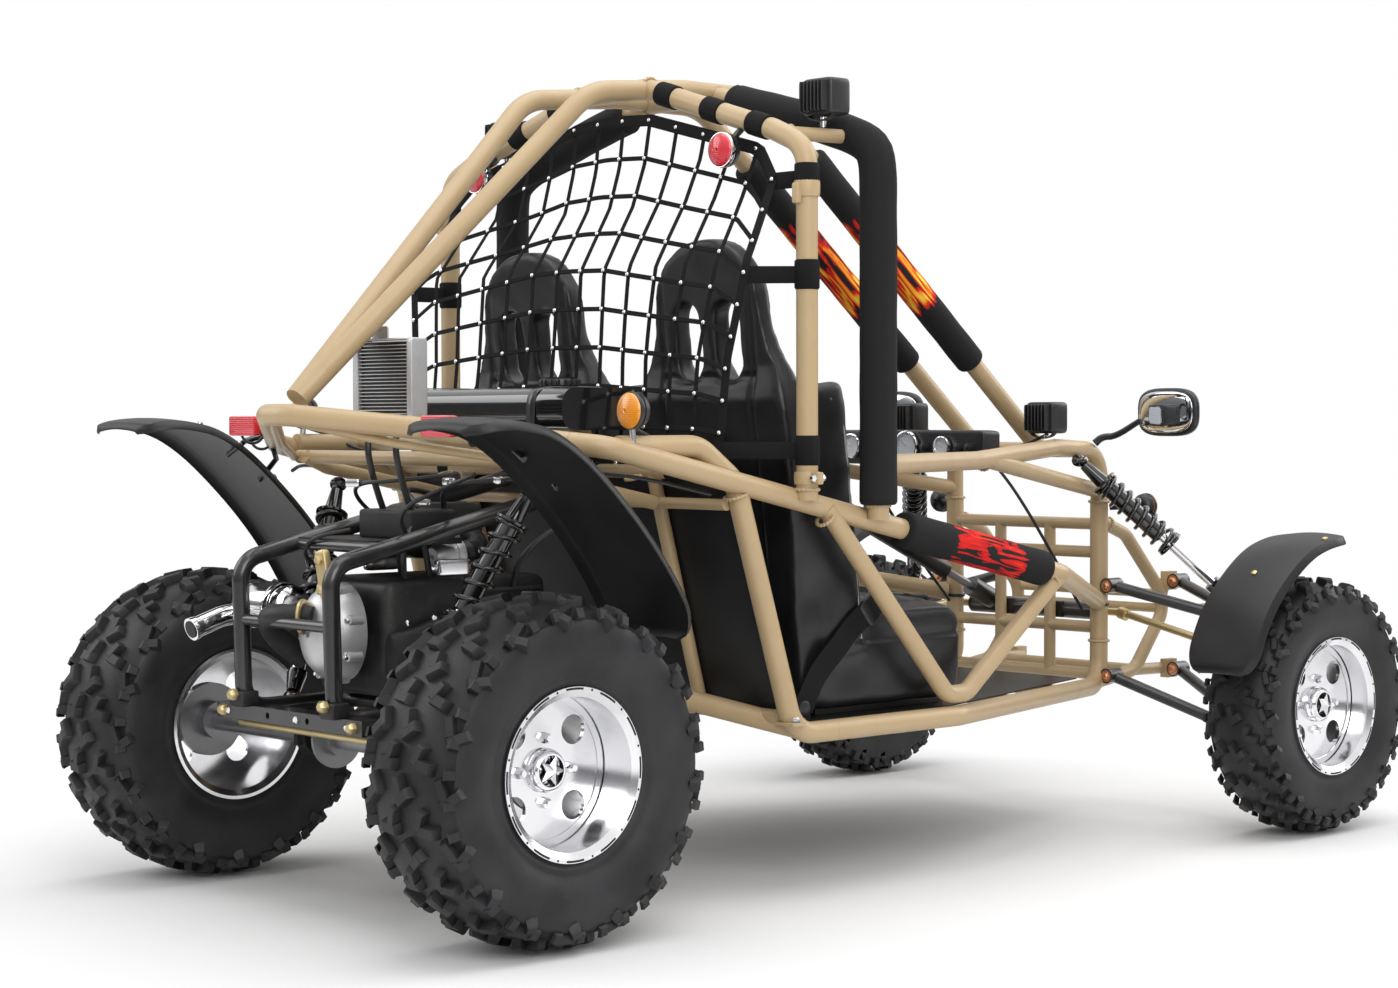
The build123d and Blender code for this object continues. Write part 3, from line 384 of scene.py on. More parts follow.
def joined(shapes):
    # many shapes as one, each one's faces shifted by the points before it
    points, faces, start = [], [], 0
    for shapePoints, shapeFaces in shapes:
        points.append(shapePoints)
        faces += [[i + start for i in face] for face in shapeFaces]
        start += len(shapePoints)
    return np.concatenate(points), faces


def rings(path, closed=False):
    # a moving pair of side directions along a path, carried without twist
    path = np.asarray(path, float)
    ahead = np.roll(path, -1, 0) - np.roll(path, 1, 0)
    if not closed:
        ahead[0], ahead[-1] = path[1] - path[0], path[-1] - path[-2]
    ahead /= np.linalg.norm(ahead, axis=1)[:, None]
    side = np.cross(ahead[0], (0, 0, 1) if abs(ahead[0][2]) < 0.9 else (1, 0, 0))
    sides = []
    for direction in ahead:
        side = side - direction * side.dot(direction)
        side /= np.linalg.norm(side)
        sides.append(side.copy())
    sides = np.array(sides)
    return path, sides, np.cross(ahead, sides)


def tubeShape(path, radius, turns=12, closed=False):
    # a circle of the given radius, one value or one for each point, carried along a path and capped
    path, sideways, upward = rings(path, closed)
    angle = np.linspace(0, 2 * np.pi, turns, endpoint=False)
    radius = np.broadcast_to(np.asarray(radius, float), (len(path),))[:, None, None]
    ring = np.cos(angle)[None, :, None] * sideways[:, None] + np.sin(angle)[None, :, None] * upward[:, None]
    points, faces = gridShape(path[:, None] + radius * ring, closeU=closed, closeV=True)
    if not closed:
        last = (len(path) - 1) * turns
        faces += [list(range(turns))[::-1], list(range(last, last + turns))]
    return points, faces


def ribbonShape(path, width, thick, across):
    # a flat strap: a rectangle, as wide along the given direction as asked, carried along a path
    path = np.asarray(path, float)
    ahead = np.gradient(path, axis=0)
    ahead /= np.linalg.norm(ahead, axis=1)[:, None]
    across = np.broadcast_to(np.asarray(across, float), path.shape)
    across = across - ahead * np.sum(across * ahead, 1)[:, None]
    across /= np.linalg.norm(across, axis=1)[:, None]
    up = np.cross(ahead, across)
    corners = [(-0.5, -0.5), (-0.42, 0.5), (0.42, 0.5), (0.5, -0.5)]
    ring = np.stack([path + across * width * a + up * thick * b for a, b in corners], 1)
    points, faces = gridShape(ring, closeV=True)
    last = (len(path) - 1) * 4
    return points, faces + [[3, 2, 1, 0], [last, last + 1, last + 2, last + 3]]


def latheShape(profile, centre, axis=(1, 0, 0), steps=48, closed=True):
    # a profile of (distance along the axis, radius) turned once about the axis
    profile = np.asarray(profile, float)
    axis = np.asarray(axis, float) / np.linalg.norm(axis)
    first = np.cross(axis, (0, 0, 1) if abs(axis[2]) < 0.9 else (1, 0, 0))
    first /= np.linalg.norm(first)
    second = np.cross(axis, first)
    angle = np.linspace(0, 2 * np.pi, steps, endpoint=False)
    spin = np.cos(angle)[:, None] * first + np.sin(angle)[:, None] * second
    along = axis * profile[:, 0][None, :, None]
    points = np.asarray(centre) + along + spin[:, None] * profile[:, 1][None, :, None]
    return gridShape(points, closeU=True, closeV=closed)


def blockShape(centre, size, squareness=0.25, turn=None, nu=20, nv=12):
    # a rounded block: a superellipsoid, whose powers of cosine and sine flatten a ball towards its box
    u = np.linspace(-np.pi, np.pi, nu, endpoint=False)[:, None]
    v = np.linspace(-np.pi / 2, np.pi / 2, nv)[None, :]

    def power(value):
        # the size raised to the squareness, with the sign kept
        return np.sign(value) * np.abs(value) ** squareness

    x = power(np.cos(u)) * power(np.cos(v))
    y = power(np.sin(u)) * power(np.cos(v))
    z = np.broadcast_to(power(np.sin(v)), x.shape)
    points = np.stack([x, y, z], -1) * np.asarray(size, float) / 2
    if turn is not None:
        points = points @ np.asarray(turn, float).T
    return gridShape(points + np.asarray(centre, float), closeU=True)


def rotation(axis, degrees):
    # the matrix of a turn about one of the frame's axes
    return np.array(Matrix.Rotation(math.radians(degrees), 3, axis))


def studsShape(centres, outward, radius, height, sides=6, domed=0.6):
    # many small heads: a ring on the surface, a smaller ring on top, and a lid
    centres, outward = np.asarray(centres, float), np.asarray(outward, float)
    outward = np.broadcast_to(outward, centres.shape)
    outward = outward / np.linalg.norm(outward, axis=1)[:, None]
    helper = np.where(np.abs(outward[:, 2:3]) < 0.9, [[0.0, 0.0, 1.0]], [[1.0, 0.0, 0.0]])
    side = np.cross(outward, helper)
    side /= np.linalg.norm(side, axis=1)[:, None]
    other = np.cross(outward, side)
    angle = np.linspace(0, 2 * np.pi, sides, endpoint=False)
    around = np.cos(angle)[None, :, None] * side[:, None] + np.sin(angle)[None, :, None] * other[:, None]
    levels = [(-0.4, 1.0), (0.5, 1.0), (1.0, domed)]
    rows = [centres[:, None] + outward[:, None] * height * lift + around * radius * wide
            for lift, wide in levels]
    points = np.stack(rows, 1).reshape(-1, 3)
    one = []
    for level in range(2):
        low, high = level * sides, (level + 1) * sides
        one += [[low + i, low + (i + 1) % sides, high + (i + 1) % sides, high + i] for i in range(sides)]
    one += [list(range(sides))[::-1], list(range(2 * sides, 3 * sides))]
    faces = [[i + k * 3 * sides for i in face] for k in range(len(centres)) for face in one]
    return points, faces


def roundedOff(points, times=2, closed=True):
    # corner cutting: each side keeps the points a quarter in from its ends
    points = np.asarray(points, float)
    for _ in range(times):
        after = np.roll(points, -1, 0)
        cut = np.stack([0.75 * points + 0.25 * after, 0.25 * points + 0.75 * after], 1)
        cut = cut.reshape(-1, points.shape[1])
        points = cut if closed else np.concatenate([points[:1], cut[:-2], points[-1:]])
    return points


def wheelRay(angle):
    # the direction straight out from a wheel's axle at each angle
    return np.stack([0 * angle, np.cos(angle), np.sin(angle)], 1)


def bandProfile(low, high, inner, outer, top=None):
    # the outline of a ring or plug: out from the inner radius, along to the top radius, and back in
    return [(low, inner), (low, outer), (high, outer if top is None else top), (high, inner)]


def smoothLine(points, count):
    # even steps along a corner-cut line
    cut = roundedOff(points, 3, closed=False)
    step = np.concatenate([[0], np.cumsum(np.linalg.norm(np.diff(cut, axis=0), axis=1))])
    spots = np.linspace(0, step[-1], count)
    return np.stack([np.interp(spots, step, cut[:, axis]) for axis in range(cut.shape[1])], 1), spots


def turnedShape(profile, centre, axis, steps):
    # a profile with its corners cut, turned about the axis
    return latheShape(roundedOff(profile, 1), centre, axis, steps)


def hoseShape(points, steps, radius, turns, side=1):
    # a tube along the corner-cut line through the given stations
    return tubeShape(onSide(smoothLine(points, steps)[0], side), radius, turns)


def addPiece(name, shape, look, body, smooth=40, replaces=(), merge=True, attributes=None):
    # a mesh with its look, riding on a body; edges sharper than the smooth angle, in degrees, stay sharp
    points, faces = shape
    data = bpy.data.meshes.new(name)
    data.from_pydata(points.tolist(), [], faces)
    if merge:
        work = bmesh.new()
        work.from_mesh(data)
        bmesh.ops.remove_doubles(work, verts=work.verts, dist=1e-6)
        bmesh.ops.recalc_face_normals(work, faces=work.faces)
        work.to_mesh(data)
        work.free()
    for label, values in (attributes or {}).items():
        layer = data.attributes.new(label, "FLOAT", "POINT")
        layer.data.foreach_set("value", np.asarray(values, np.float32).ravel())
    data.polygons.foreach_set("use_smooth", np.full(len(data.polygons), smooth > 0))
    if smooth > 0:
        data.set_sharp_from_angle(angle=math.radians(smooth))
    piece = bpy.data.objects.new(name, data)
    bpy.context.collection.objects.link(piece)
    data.materials.append(materials[look])
    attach(piece, body)
    if replaces:
        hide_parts(*replaces)
    return piece


sides = (("left", -1), ("right", 1))
onAxis = 0.0001    # a profile's ends stop just short of its axis, so that no face is without area

print("tyres")
tyres = dict(    # a row of blocks is its place from the middle, its length and its width
    rear=dict(centre=(0.484, 0.0, 0.285), radius=0.285, width=0.232, bead=0.087, knob=0.0145, around=17,
              inner=0.130, rows=((0.012, 0.034, 0.030), (0.052, 0.034, 0.030), (0.090, 0.036, 0.028))),
    front=dict(centre=(0.6285, 1.9, 0.261), radius=0.261, width=0.162, bead=0.063, knob=0.013, around=21,
               inner=0.077, rows=((0.0, 0.028, 0.026), (0.031, 0.027, 0.026), (0.060, 0.028, 0.022))),
)


def carcassRadius(tyre, x):
    # the tread's crown falls off with the fourth power of the distance from the middle
    half = tyre["width"] / 2
    return tyre["radius"] - tyre["knob"] - 0.034 * (np.abs(x) / half) ** 4 - 0.006 * (np.abs(x) / half) ** 2


def repeated(corners, faces, count):
    # the same few faces over and again, on corners given as one array of places each
    points = np.stack(corners, 1).reshape(-1, 3)
    return points, [[i + k * len(corners) for i in face] for k in range(count) for face in faces]


boxCorners = ((-1, -1), (1, -1), (1, 1), (-1, 1))
boxSides = [[0, 1, 5, 4], [1, 2, 6, 5], [2, 3, 7, 6], [3, 0, 4, 7]]
boxBottom = [3, 2, 1, 0]


def hookedBlocks(tyre, row, arm, mirror, centre):
    # one row of short bars round the tread; two rows of arms, set at an angle, make the hooked blocks
    offset, long, wide = tyre["rows"][row]
    half, count = tyre["width"] / 2, tyre["around"]
    phase = (0.5 * row + 0.25 * (mirror + 1)) % 1
    turn = 2 * np.pi * (np.arange(count) + phase) / count + arm * 0.16 * 2 * np.pi / count
    spot = mirror * (offset + arm * 0.010) + rng.uniform(-0.0015, 0.0015, count)
    base = carcassRadius(tyre, spot) - 0.004
    slope = np.clip((np.abs(spot) / half) ** 3 * 1.15, 0, 1.1) * np.sign(spot)
    spin, ahead = wheelRay(turn), wheelRay(turn + np.pi / 2)
    axle = np.array([[1.0, 0, 0]])
    outward = spin * np.cos(slope)[:, None] + axle * np.sin(slope)[:, None]
    across = np.cross(ahead, outward)
    yaw = (0.45 if row % 2 else -0.35) * mirror + arm * 1.35
    first = ahead * math.cos(yaw) + across * math.sin(yaw)
    second = across * math.cos(yaw) - ahead * math.sin(yaw)
    middle = centre + spin * base[:, None] + axle * spot[:, None]
    height = tyre["knob"] + 0.0032
    thin = 0.62 if arm else 0.5
    corners = []
    for lift, shrink in ((0.0, 1.12), (0.8, 0.98), (1.0, 0.84)):
        for a, b in boxCorners:
            corners.append(middle + outward * height * lift + first * a * long * shrink / 2
                           + second * b * wide * thin * shrink / 2)
    upper = [[i + 4 for i in face] for face in boxSides]
    return repeated(corners, boxSides + upper + [[8, 9, 10, 11], boxBottom], count)


def shoulderLugs(tyre, mirror, centre):
    # low lugs between the blocks and the side wall
    half, radius, count = tyre["width"] / 2, tyre["radius"], tyre["around"] * 2
    angle = 2 * np.pi * (np.arange(count) + 0.5) / count
    spin, ahead = wheelRay(angle), wheelRay(angle + np.pi / 2)
    outward = spin * 0.35 + np.array([[1.0 * mirror, 0, 0]]) * 0.94
    across = np.cross(ahead, outward)
    middle = centre + spin * radius * 0.895 + np.array([[mirror * half * 0.915, 0, 0]])
    corners = []
    for lift, shrink in ((0.0, 1.1), (1.0, 0.85)):
        for a, b in boxCorners:
            flat = (ahead * a * 0.008 + across * b * 0.009) * shrink
            corners.append(middle + outward * 0.006 * lift + flat)
    return repeated(corners, boxSides + [[4, 5, 6, 7], boxBottom], count)


def tyreShape(tyre, side):
    # the carcass is one turned outline: tread, side wall, bead and the inside back again
    half, radius, bead = tyre["width"] / 2, tyre["radius"], tyre["bead"]
    centre = onSide((tyre["centre"][0], *tyre["centre"][1:]), side)
    x = np.linspace(-0.86, 0.86, 15) * half
    tread = np.stack([x, carcassRadius(tyre, x)], 1)
    wall = np.array([[half * 0.955, radius * 0.86], [half * 0.985, radius * 0.77],
                     [half * 0.975, radius * 0.68], [half * 0.9, radius * 0.60],
                     [half * 0.83, radius * 0.555], [half * 0.84, radius * 0.53],
                     [bead + 0.004, 0.142], [bead + 0.002, 0.1285], [bead - 0.01, 0.1278],
                     [bead - 0.02, 0.150],
                     [half * 0.80, radius * 0.7], [half * 0.72, radius * 0.85]])
    profile = np.concatenate([tread, wall, (wall * [-1, 1])[::-1]])
    shapes = [turnedShape(profile, centre, (1, 0, 0), 96)]
    for row, (offset, _, _) in enumerate(tyre["rows"]):
        for mirror in ((1,) if offset == 0 else (-1, 1)):
            for arm in (0, 1):
                shapes.append(hookedBlocks(tyre, row, arm, mirror, centre))
    for mirror in (-1, 1):
        shapes.append(shoulderLugs(tyre, mirror, centre))
    points, faces = joined(shapes)
    # towards the frame nothing is further out than the inner reach, which keeps clear of the fender stay
    outward = np.maximum((points[:, 0] - centre[0]) * side, -tyre["inner"])
    points[:, 0] = centre[0] + side * outward
    return points, faces


rearTyres = joined([tyreShape(tyres["rear"], side) for _, side in sides])
addPiece("rearTyreTread", rearTyres, "tyreRubber", "rear_axle", replaces=["rear_tyres"])
for name, side in sides:
    addPiece(f"frontTyreTread.{name}", tyreShape(tyres["front"], side), "tyreRubber", f"front_wheel_{name}",
             replaces=[f"front_tyre_{name}"])

print("wheel trim")
wheelTrim = dict(
    rear=dict(centre=(0.484, 0.0, 0.285), lip=0.097, disc=0.018),
    front=dict(centre=(0.6285, 1.9, 0.261), lip=0.073, disc=0.024),
)


def wheelTrimShapes(trim, side):
    # bright: lug nuts, hub ring and a five-pointed cap; dark: painted shade, flat black slots and dots laid
    # on the lip in place of its shaded openings
    centre = onSide((trim["centre"][0], *trim["centre"][1:]), side)
    out = np.array([side, 0.0, 0.0])
    face = centre + out * trim["disc"]
    lip = centre + out * (trim["lip"] - 0.0006)
    angle = 2 * np.pi * (np.arange(4) + 0.5) / 4 + math.pi / 4
    nuts = face + 0.052 * wheelRay(angle)
    bright = [studsShape(nuts, out, 0.0095, 0.016)]
    hub = [(0, 0.036), (0.012, 0.035), (0.020, 0.030), (0.020, 0.024), (0.0, 0.024)]
    bright.append(turnedShape(hub, face, out, 40))
    star = np.linspace(0, 2 * np.pi, 10, endpoint=False)
    reach = np.where(np.arange(10) % 2 == 0, 0.026, 0.0125)
    ring = np.stack([0 * star, reach * np.cos(star), reach * np.sin(star)], 1)
    starPoints = np.concatenate([face + out * 0.008 + ring, face + out * 0.022 + ring * 0.96,
                                 [face + out * 0.031]])
    starFaces = [[i, (i + 1) % 10, 10 + (i + 1) % 10, 10 + i] for i in range(10)]
    starFaces += [[10 + i, 10 + (i + 1) % 10, 20] for i in range(10)] + [list(range(10))[::-1]]
    bright.append((starPoints, starFaces))
    collar = [(-0.001, 0.121), (0.0015, 0.1205), (0.0015, 0.112), (-0.001, 0.1115)]
    bright.append(latheShape(collar, face + out * 0.0015, out, 64))
    # painted shade: the slots and dots are thin black marks on the lip where its openings would be in shade
    dark = []
    for slot in range(12):
        start = 2 * math.pi * slot / 12
        arc = np.linspace(start - 0.13, start + 0.13, 7)
        path = lip + 0.1365 * wheelRay(arc)
        dark.append(ribbonShape(path, 0.0035, 0.0016, wheelRay(arc)))
    dots = 2 * np.pi * (np.arange(12) + 0.5) / 12
    dotPlaces = lip + 0.1365 * wheelRay(dots)
    dark.append(studsShape(dotPlaces, out, 0.0022, 0.0016))
    return bright, dark


rearTrim = [wheelTrimShapes(wheelTrim["rear"], side) for _, side in sides]
addPiece("rearWheelBright", joined(rearTrim[0][0] + rearTrim[1][0]), "chrome", "rear_axle", 30)
addPiece("rearWheelSlotShade", joined(rearTrim[0][1] + rearTrim[1][1]), "slotShade", "rear_axle", 30)
for name, side in sides:
    bright, dark = wheelTrimShapes(wheelTrim["front"], side)
    addPiece(f"frontWheelBright.{name}", joined(bright), "chrome", f"front_wheel_{name}", 30)
    addPiece(f"frontWheelSlotShade.{name}", joined(dark), "slotShade", f"front_wheel_{name}", 30)

print("roll net")
net = dict(columns=14, rows=10, lowZ=0.766, wide=0.009, thick=0.0022)
netProfile = np.array([(1.402, 0.580), (1.319, 0.571), (1.240, 0.546), (1.120, 0.470), (0.766, 0.436)])[::-1]


def netPoint(across, up):
    # across runs -1 to 1 and up 0 to 1; the top follows the hoop, the sides pull in between their ties
    across, up = np.broadcast_arrays(np.asarray(across, float), np.asarray(up, float))
    reach = np.abs(across) * 0.478
    top = np.interp(reach, [0.0, 0.11, 0.41, 0.478], [1.408, 1.402, 1.322, 1.262])
    z = net["lowZ"] + up * (top - net["lowZ"])
    half = np.interp(z, [0.766, 0.83, 0.95, 1.12, 1.24, 1.40], [0.435, 0.455, 0.452, 0.474, 0.450, 0.474])
    x = across * half + 0.004 * np.sin(9 * z + 3 * across)
    y = np.interp(z, netProfile[:, 0], netProfile[:, 1]) + 0.006 * np.sin(5 * across + 4 * up)
    return at(np.stack([x, y - 0.002, z - 0.012 * (1 - across ** 2) * up * 0.6], -1))


strips = []
for column in np.linspace(-1, 1, net["columns"]):
    wide = net["wide"] * (2.2 if abs(column) == 1 else 1)
    strips.append(ribbonShape(netPoint(column, np.linspace(0, 1, 40)), wide, net["thick"], (1, 0, 0)))
for row in np.linspace(0, 1, net["rows"]):
    wide = net["wide"] * (2.6 if row in (0, 1) else 1)
    path = netPoint(np.linspace(-1, 1, 48), row) - [0, 0.0018, 0]
    strips.append(ribbonShape(path, wide, net["thick"], (0, 0.3, 1)))
netPiece = addPiece("rollNetWebbing", joined(strips), "webbing", "chassis", 60,
                    replaces=["roll_net"])
crossU, crossV = np.meshgrid(np.linspace(-1, 1, net["columns"]), np.linspace(0, 1, net["rows"]))
crossings = netPoint(crossU.ravel(), crossV.ravel())
rivets = studsShape(crossings - [0, 0.0035, 0], (0, -1, 0.25), 0.0042, 0.003, 8, 0.5)
netRivets = addPiece("netRivets", rivets, "chrome", "chassis", 60)


def hoopPoint(share):
    # along the rear hoop's sloping top tube, from its outer corner to its crown
    return at(np.array([0.430, 0.582, 1.353]) * (1 - share) + np.array([0.093, 0.582, 1.455]) * share)


wraps = []
for _, side in sides:
    for share in (0.1, 0.45, 0.82):
        middle, ahead = hoopPoint(share), hoopPoint(share + 0.06) - hoopPoint(share)
        path = np.stack([middle - ahead * 1.1, middle - ahead, middle, middle + ahead, middle + ahead * 1.1])
        wraps.append(tubeShape(path * [side, 1, 1], [0.0195, 0.0222, 0.0226, 0.0222, 0.0195], 20))
    for height in (0.79, 1.095, 1.262):
        place = onSide((0.512, 0.582, height), side)
        path = place + np.array([[0, 0, -0.026], [0, 0, -0.023], [0, 0, 0.0], [0, 0, 0.023], [0, 0, 0.026]])
        wraps.append(tubeShape(path, [0.0195, 0.0222, 0.0226, 0.0222, 0.0195], 20))
        inner = netPoint(side * 1.0, (height - 0.766) / 0.5)
        wraps.append(ribbonShape(np.linspace(inner, place, 6), 0.03, 0.002, (0, 0, 1)))
for x in (-0.33, -0.11, 0.11, 0.33):
    low = at((x, 0.4385, 0.752))
    path = low + np.array([[-0.02, 0, 0], [-0.017, 0, 0], [0, 0, 0], [0.017, 0, 0], [0.02, 0, 0]])
    wraps.append(tubeShape(path, [0.013, 0.0155, 0.0158, 0.0155, 0.013], 18))
netWraps = addPiece("netWraps", joined(wraps), "webbing", "chassis", 50)

print("sleeves")
sleeves = dict(pad=0.034, screenPad=0.031, tube=0.0195)


def sleeveShape(points, radius, times=3, ringCount=60, seam=True):
    # a padded sleeve along a rounded path: its radius swells and tucks a little, its ends close on the tube
    route = roundedOff(points, times, closed=False)
    step = np.concatenate([[0], np.cumsum(np.linalg.norm(np.diff(route, axis=0), axis=1))])
    length = step[-1]
    spots = np.linspace(0, length, ringCount)
    spots = np.concatenate([[0, 0, 0.002, 0.006], spots[1:-1],
                            [length - 0.006, length - 0.002, length, length]])
    path = np.stack([np.interp(spots, step, route[:, axis]) for axis in range(3)], 1)
    path[0], path[-1] = path[1] + (path[1] - path[2]) * 0.01, path[-2] + (path[-2] - path[-3]) * 0.01
    swell = 1 - 0.012 + 0.008 * np.sin(spots * 70) + 0.006 * np.sin(spots * 31 + 1)
    wide = radius * swell
    wide[[0, -1]] = sleeves["tube"]
    wide[[1, -2]] = radius * 0.86
    wide[[2, -3]] = radius * 0.94
    turns = 28
    _, sideways, upward = rings(path)
    angle = np.linspace(0, 2 * np.pi, turns, endpoint=False)
    pinch = 1 - 0.05 * np.exp(-((angle - np.pi * 1.5) / 0.12) ** 2) * seam
    ring = np.cos(angle)[None, :, None] * sideways[:, None] + np.sin(angle)[None, :, None] * upward[:, None]
    points, faces = gridShape(path[:, None] + (wide[:, None] * pinch)[..., None] * ring, closeV=True)
    last = (len(path) - 1) * turns
    faces += [list(range(turns))[::-1], list(range(last, last + turns))]
    along = np.repeat(spots / length, turns)
    return points, faces, along, np.tile(np.cos(angle), len(path)), np.tile(np.sin(angle), len(path))


railSlope = -0.222
hoopFootZ = 0.799 + railSlope * 0.6 + 0.026
padRoute = [(0.522, 0.75, hoopFootZ), (0.522, 0.75, 0.95), (0.522, 0.75, 1.22), (0.521, 0.75, 1.30),
            (0.505, 0.75, 1.332), (0.44, 0.75, 1.36), (0.30, 0.75, 1.4012), (0.152, 0.75, 1.4386)]
screenRun = np.array([(0.091, 0.879, 1.460), (0.089, 1.690, 0.788)])
railRun = np.array([(0.490, 0.150, 0.799), (0.490, 1.288, 0.799 + railSlope * 1.138)])


def between(run, low, high):
    # three places on the straight run from one share of it to another
    return run[0] + (run[1] - run[0]) * np.linspace(low, high, 3)[:, None]


hoopPads, screenPads, railPads = [], [], []
for _, side in sides:
    hoopPads.append(sleeveShape(onSide(padRoute, side), sleeves["pad"], 2, 80))
    screenPads.append(sleeveShape(onSide(between(screenRun, 0.16, 0.74), side), sleeves["screenPad"]))
    railPads.append(sleeveShape(onSide(between(railRun, 0.61, 0.955), side), sleeves["pad"]))
for name, pads, look, replaced in (("hoopSleeves", hoopPads, "sleeveCloth", ["hoop_padding"]),
                                   ("screenSleeves", screenPads, "screenSleeve", ["tube_padding"]),
                                   ("railSleeves", railPads, "railSleeve", [])):
    sleevePiece = addPiece(name, joined([pad[:2] for pad in pads]), look, "chassis", 70, replaced,
                           False, {label: np.concatenate([pad[k] for pad in pads])
                            for k, label in ((2, "along"), (3, "aroundCos"), (4, "aroundSin"))})

print("springs and struts")
struts = dict(
    front=dict(top=(0.2345, 1.656, 0.7565), foot=(0.448, 1.885, 0.466), seat=0.17, perch=0.60, turns=9,
               rods=(-0.0085, 0.0085), rod=0.0088, axis=(0, 1, 0)),
    rear=dict(top=(0.284, 0.150, 0.7254), foot=(0.171, -0.030, 0.352), seat=0.15, perch=0.62, turns=8,
              rods=(0.0,), rod=0.0125, axis=(1, 0, 0)),
)


def coilShape(start, end, turns, radius, wire):
    # a helix round the strut's line, with a flat turn at each end
    start, end = np.asarray(start), np.asarray(end)
    axis = (end - start) / np.linalg.norm(end - start)
    side = np.cross(axis, (0, 0, 1))
    side /= np.linalg.norm(side)
    other = np.cross(axis, side)
    t = np.linspace(0, 1, turns * 20)
    angle = 2 * np.pi * turns * t
    climb = np.clip((t * turns - 0.7) / (turns - 1.4), 0, 1)
    path = start + (end - start) * climb[:, None] * 0.985 + (end - start) * 0.0075
    path = path + radius * (np.cos(angle)[:, None] * side + np.sin(angle)[:, None] * other)
    return tubeShape(path, wire, 8)


coils = []
for strut in struts.values():
    for _, side in sides:
        a, b = onSide(strut["top"], side), onSide(strut["foot"], side)
        low, high = a + (b - a) * (strut["seat"] + 0.004), a + (b - a) * (strut["perch"] - 0.004)
        coils.append(coilShape(low, high, strut["turns"], 0.0245, 0.0042))
addPiece("coilSprings", joined(coils), "glossBlack", "chassis", 60, replaces=["strut_springs"])

print("lamps and mirrors")
lampBits = dict(red=[], amber=[], clear=[], shell=[], glass=[], chrome=[])
roundLamps = dict(    # the colour, place and direction of each, and its size beside the rear ones
    tail=("red", (0.354, 0.528, 1.319), (0, -1, 0), 1.0),
    rearIndicator=("amber", (0.482, 0.204, 0.859), (0, -1, 0), 1.0),
    frontIndicator=("amber", (0.290, 1.808, 0.659), (0, 1, 0), 0.86),
)
lampOutlines = dict(
    lens=[(-0.006, 0.031), (0.004, 0.031), (0.010, 0.026), (0.014, 0.014), (0.0155, onAxis),
          (-0.006, onAxis)],
    ring=[(-0.004, 0.0318), (0.005, 0.0318), (0.005, 0.029), (-0.004, 0.029)],
    cup=[(-0.004, 0.0315), (-0.018, 0.029), (-0.027, 0.016), (-0.030, onAxis), (-0.004, onAxis)],
)
lampStalks = [    # which parts they go with, their places, and their radius
    ("shell", [(0.354, 0.55, 1.335), (0.354, 0.565, 1.35), (0.354, 0.575, 1.358)], 0.006),
    ("chrome", [(0.482, 0.206, 0.835), (0.485, 0.206, 0.803)], 0.0055),
    ("shell", [(0.282, 1.796, 0.659), (0.226, 1.768, 0.656)], 0.0065),
]
reflectors = [    # the reflector, its back plate and its foot
    ("red", (0.291, -0.047, 0.834), (0.084, 0.016, 0.036), 0.15),
    ("shell", (0.291, -0.038, 0.833), (0.078, 0.010, 0.030), 0.15),
    ("shell", (0.270, -0.030, 0.822), (0.02, 0.022, 0.012), 0.2),
]
pods = [    # place, and the height of its foot
    ((0.196, 1.589, 0.846), 0.803), ((0.454, 0.680, 1.415), 1.362),
]
mirror = dict(place=(0.392, 1.745, 0.857), turn=8, shell=(0.172, 0.026, 0.1), glass=(0.156, 0.008, 0.086),
              stalk=[(0.222, 1.722, 0.792), (0.236, 1.730, 0.806), (0.262, 1.740, 0.806),
                     (0.318, 1.748, 0.838)])


def addRoundLamp(key, place, out, scale, side):
    # a domed lens in a ring, with a cup behind it; the red ones have a bright ring
    spot = onSide(place, side)
    holders = dict(lens=key, ring="chrome" if key == "red" else "shell", cup="shell")
    for part, holder in holders.items():
        outline = roundedOff(lampOutlines[part], 1) * scale
        lampBits[holder].append(latheShape(outline, spot, out, 40))


def addPod(place, footZ, side):
    # a finned box with a bright rim and a clear front, held by a bow and a foot
    spot = onSide(place, side)
    lampBits["shell"].append(blockShape(spot + [0, 0.008, 0], (0.074, 0.052, 0.066), 0.22, None, 28, 16))
    for fin in np.linspace(-0.027, 0.027, 7):
        finPlace = spot + [fin, -0.016, 0]
        lampBits["shell"].append(blockShape(finPlace, (0.0035, 0.034, 0.056), 0.2, None, 8, 6))
    lampBits["chrome"].append(blockShape(spot + [0, 0.032, 0], (0.062, 0.004, 0.054), 0.3))
    lampBits["clear"].append(blockShape(spot + [0, 0.0335, 0], (0.056, 0.003, 0.048), 0.35))
    bow = np.linspace(-np.pi / 2, np.pi / 2, 13)
    bowPath = spot + np.stack([0.0355 * np.sin(bow), -0.004 + 0 * bow, -0.042 * np.cos(bow) ** 0.4], 1)
    lampBits["shell"].append(ribbonShape(bowPath, 0.012, 0.0025, (0, 1, 0)))
    x, y, z = place
    foot = [onSide((x, y, footZ - 0.001), side), onSide((x, y, z - 0.036), side)]
    lampBits["chrome"].append(tubeShape(foot, 0.006, 10))


def addMirror(side):
    # a soft-cornered shell, its glass just behind it, and a bent stalk that thins towards the shell
    turn = rotation("Z", -mirror["turn"] * side)
    spot = onSide(mirror["place"], side)
    lampBits["shell"].append(blockShape(spot + [0, 0.006, 0], mirror["shell"], 0.62, turn, 48, 24))
    lampBits["glass"].append(blockShape(spot + [0, -0.0042, 0], mirror["glass"], 0.66, turn, 48, 16))
    stalk = roundedOff(mirror["stalk"], 2, False)
    lampBits["shell"].append(tubeShape(onSide(stalk, side), np.linspace(0.0085, 0.006, len(stalk)), 14))


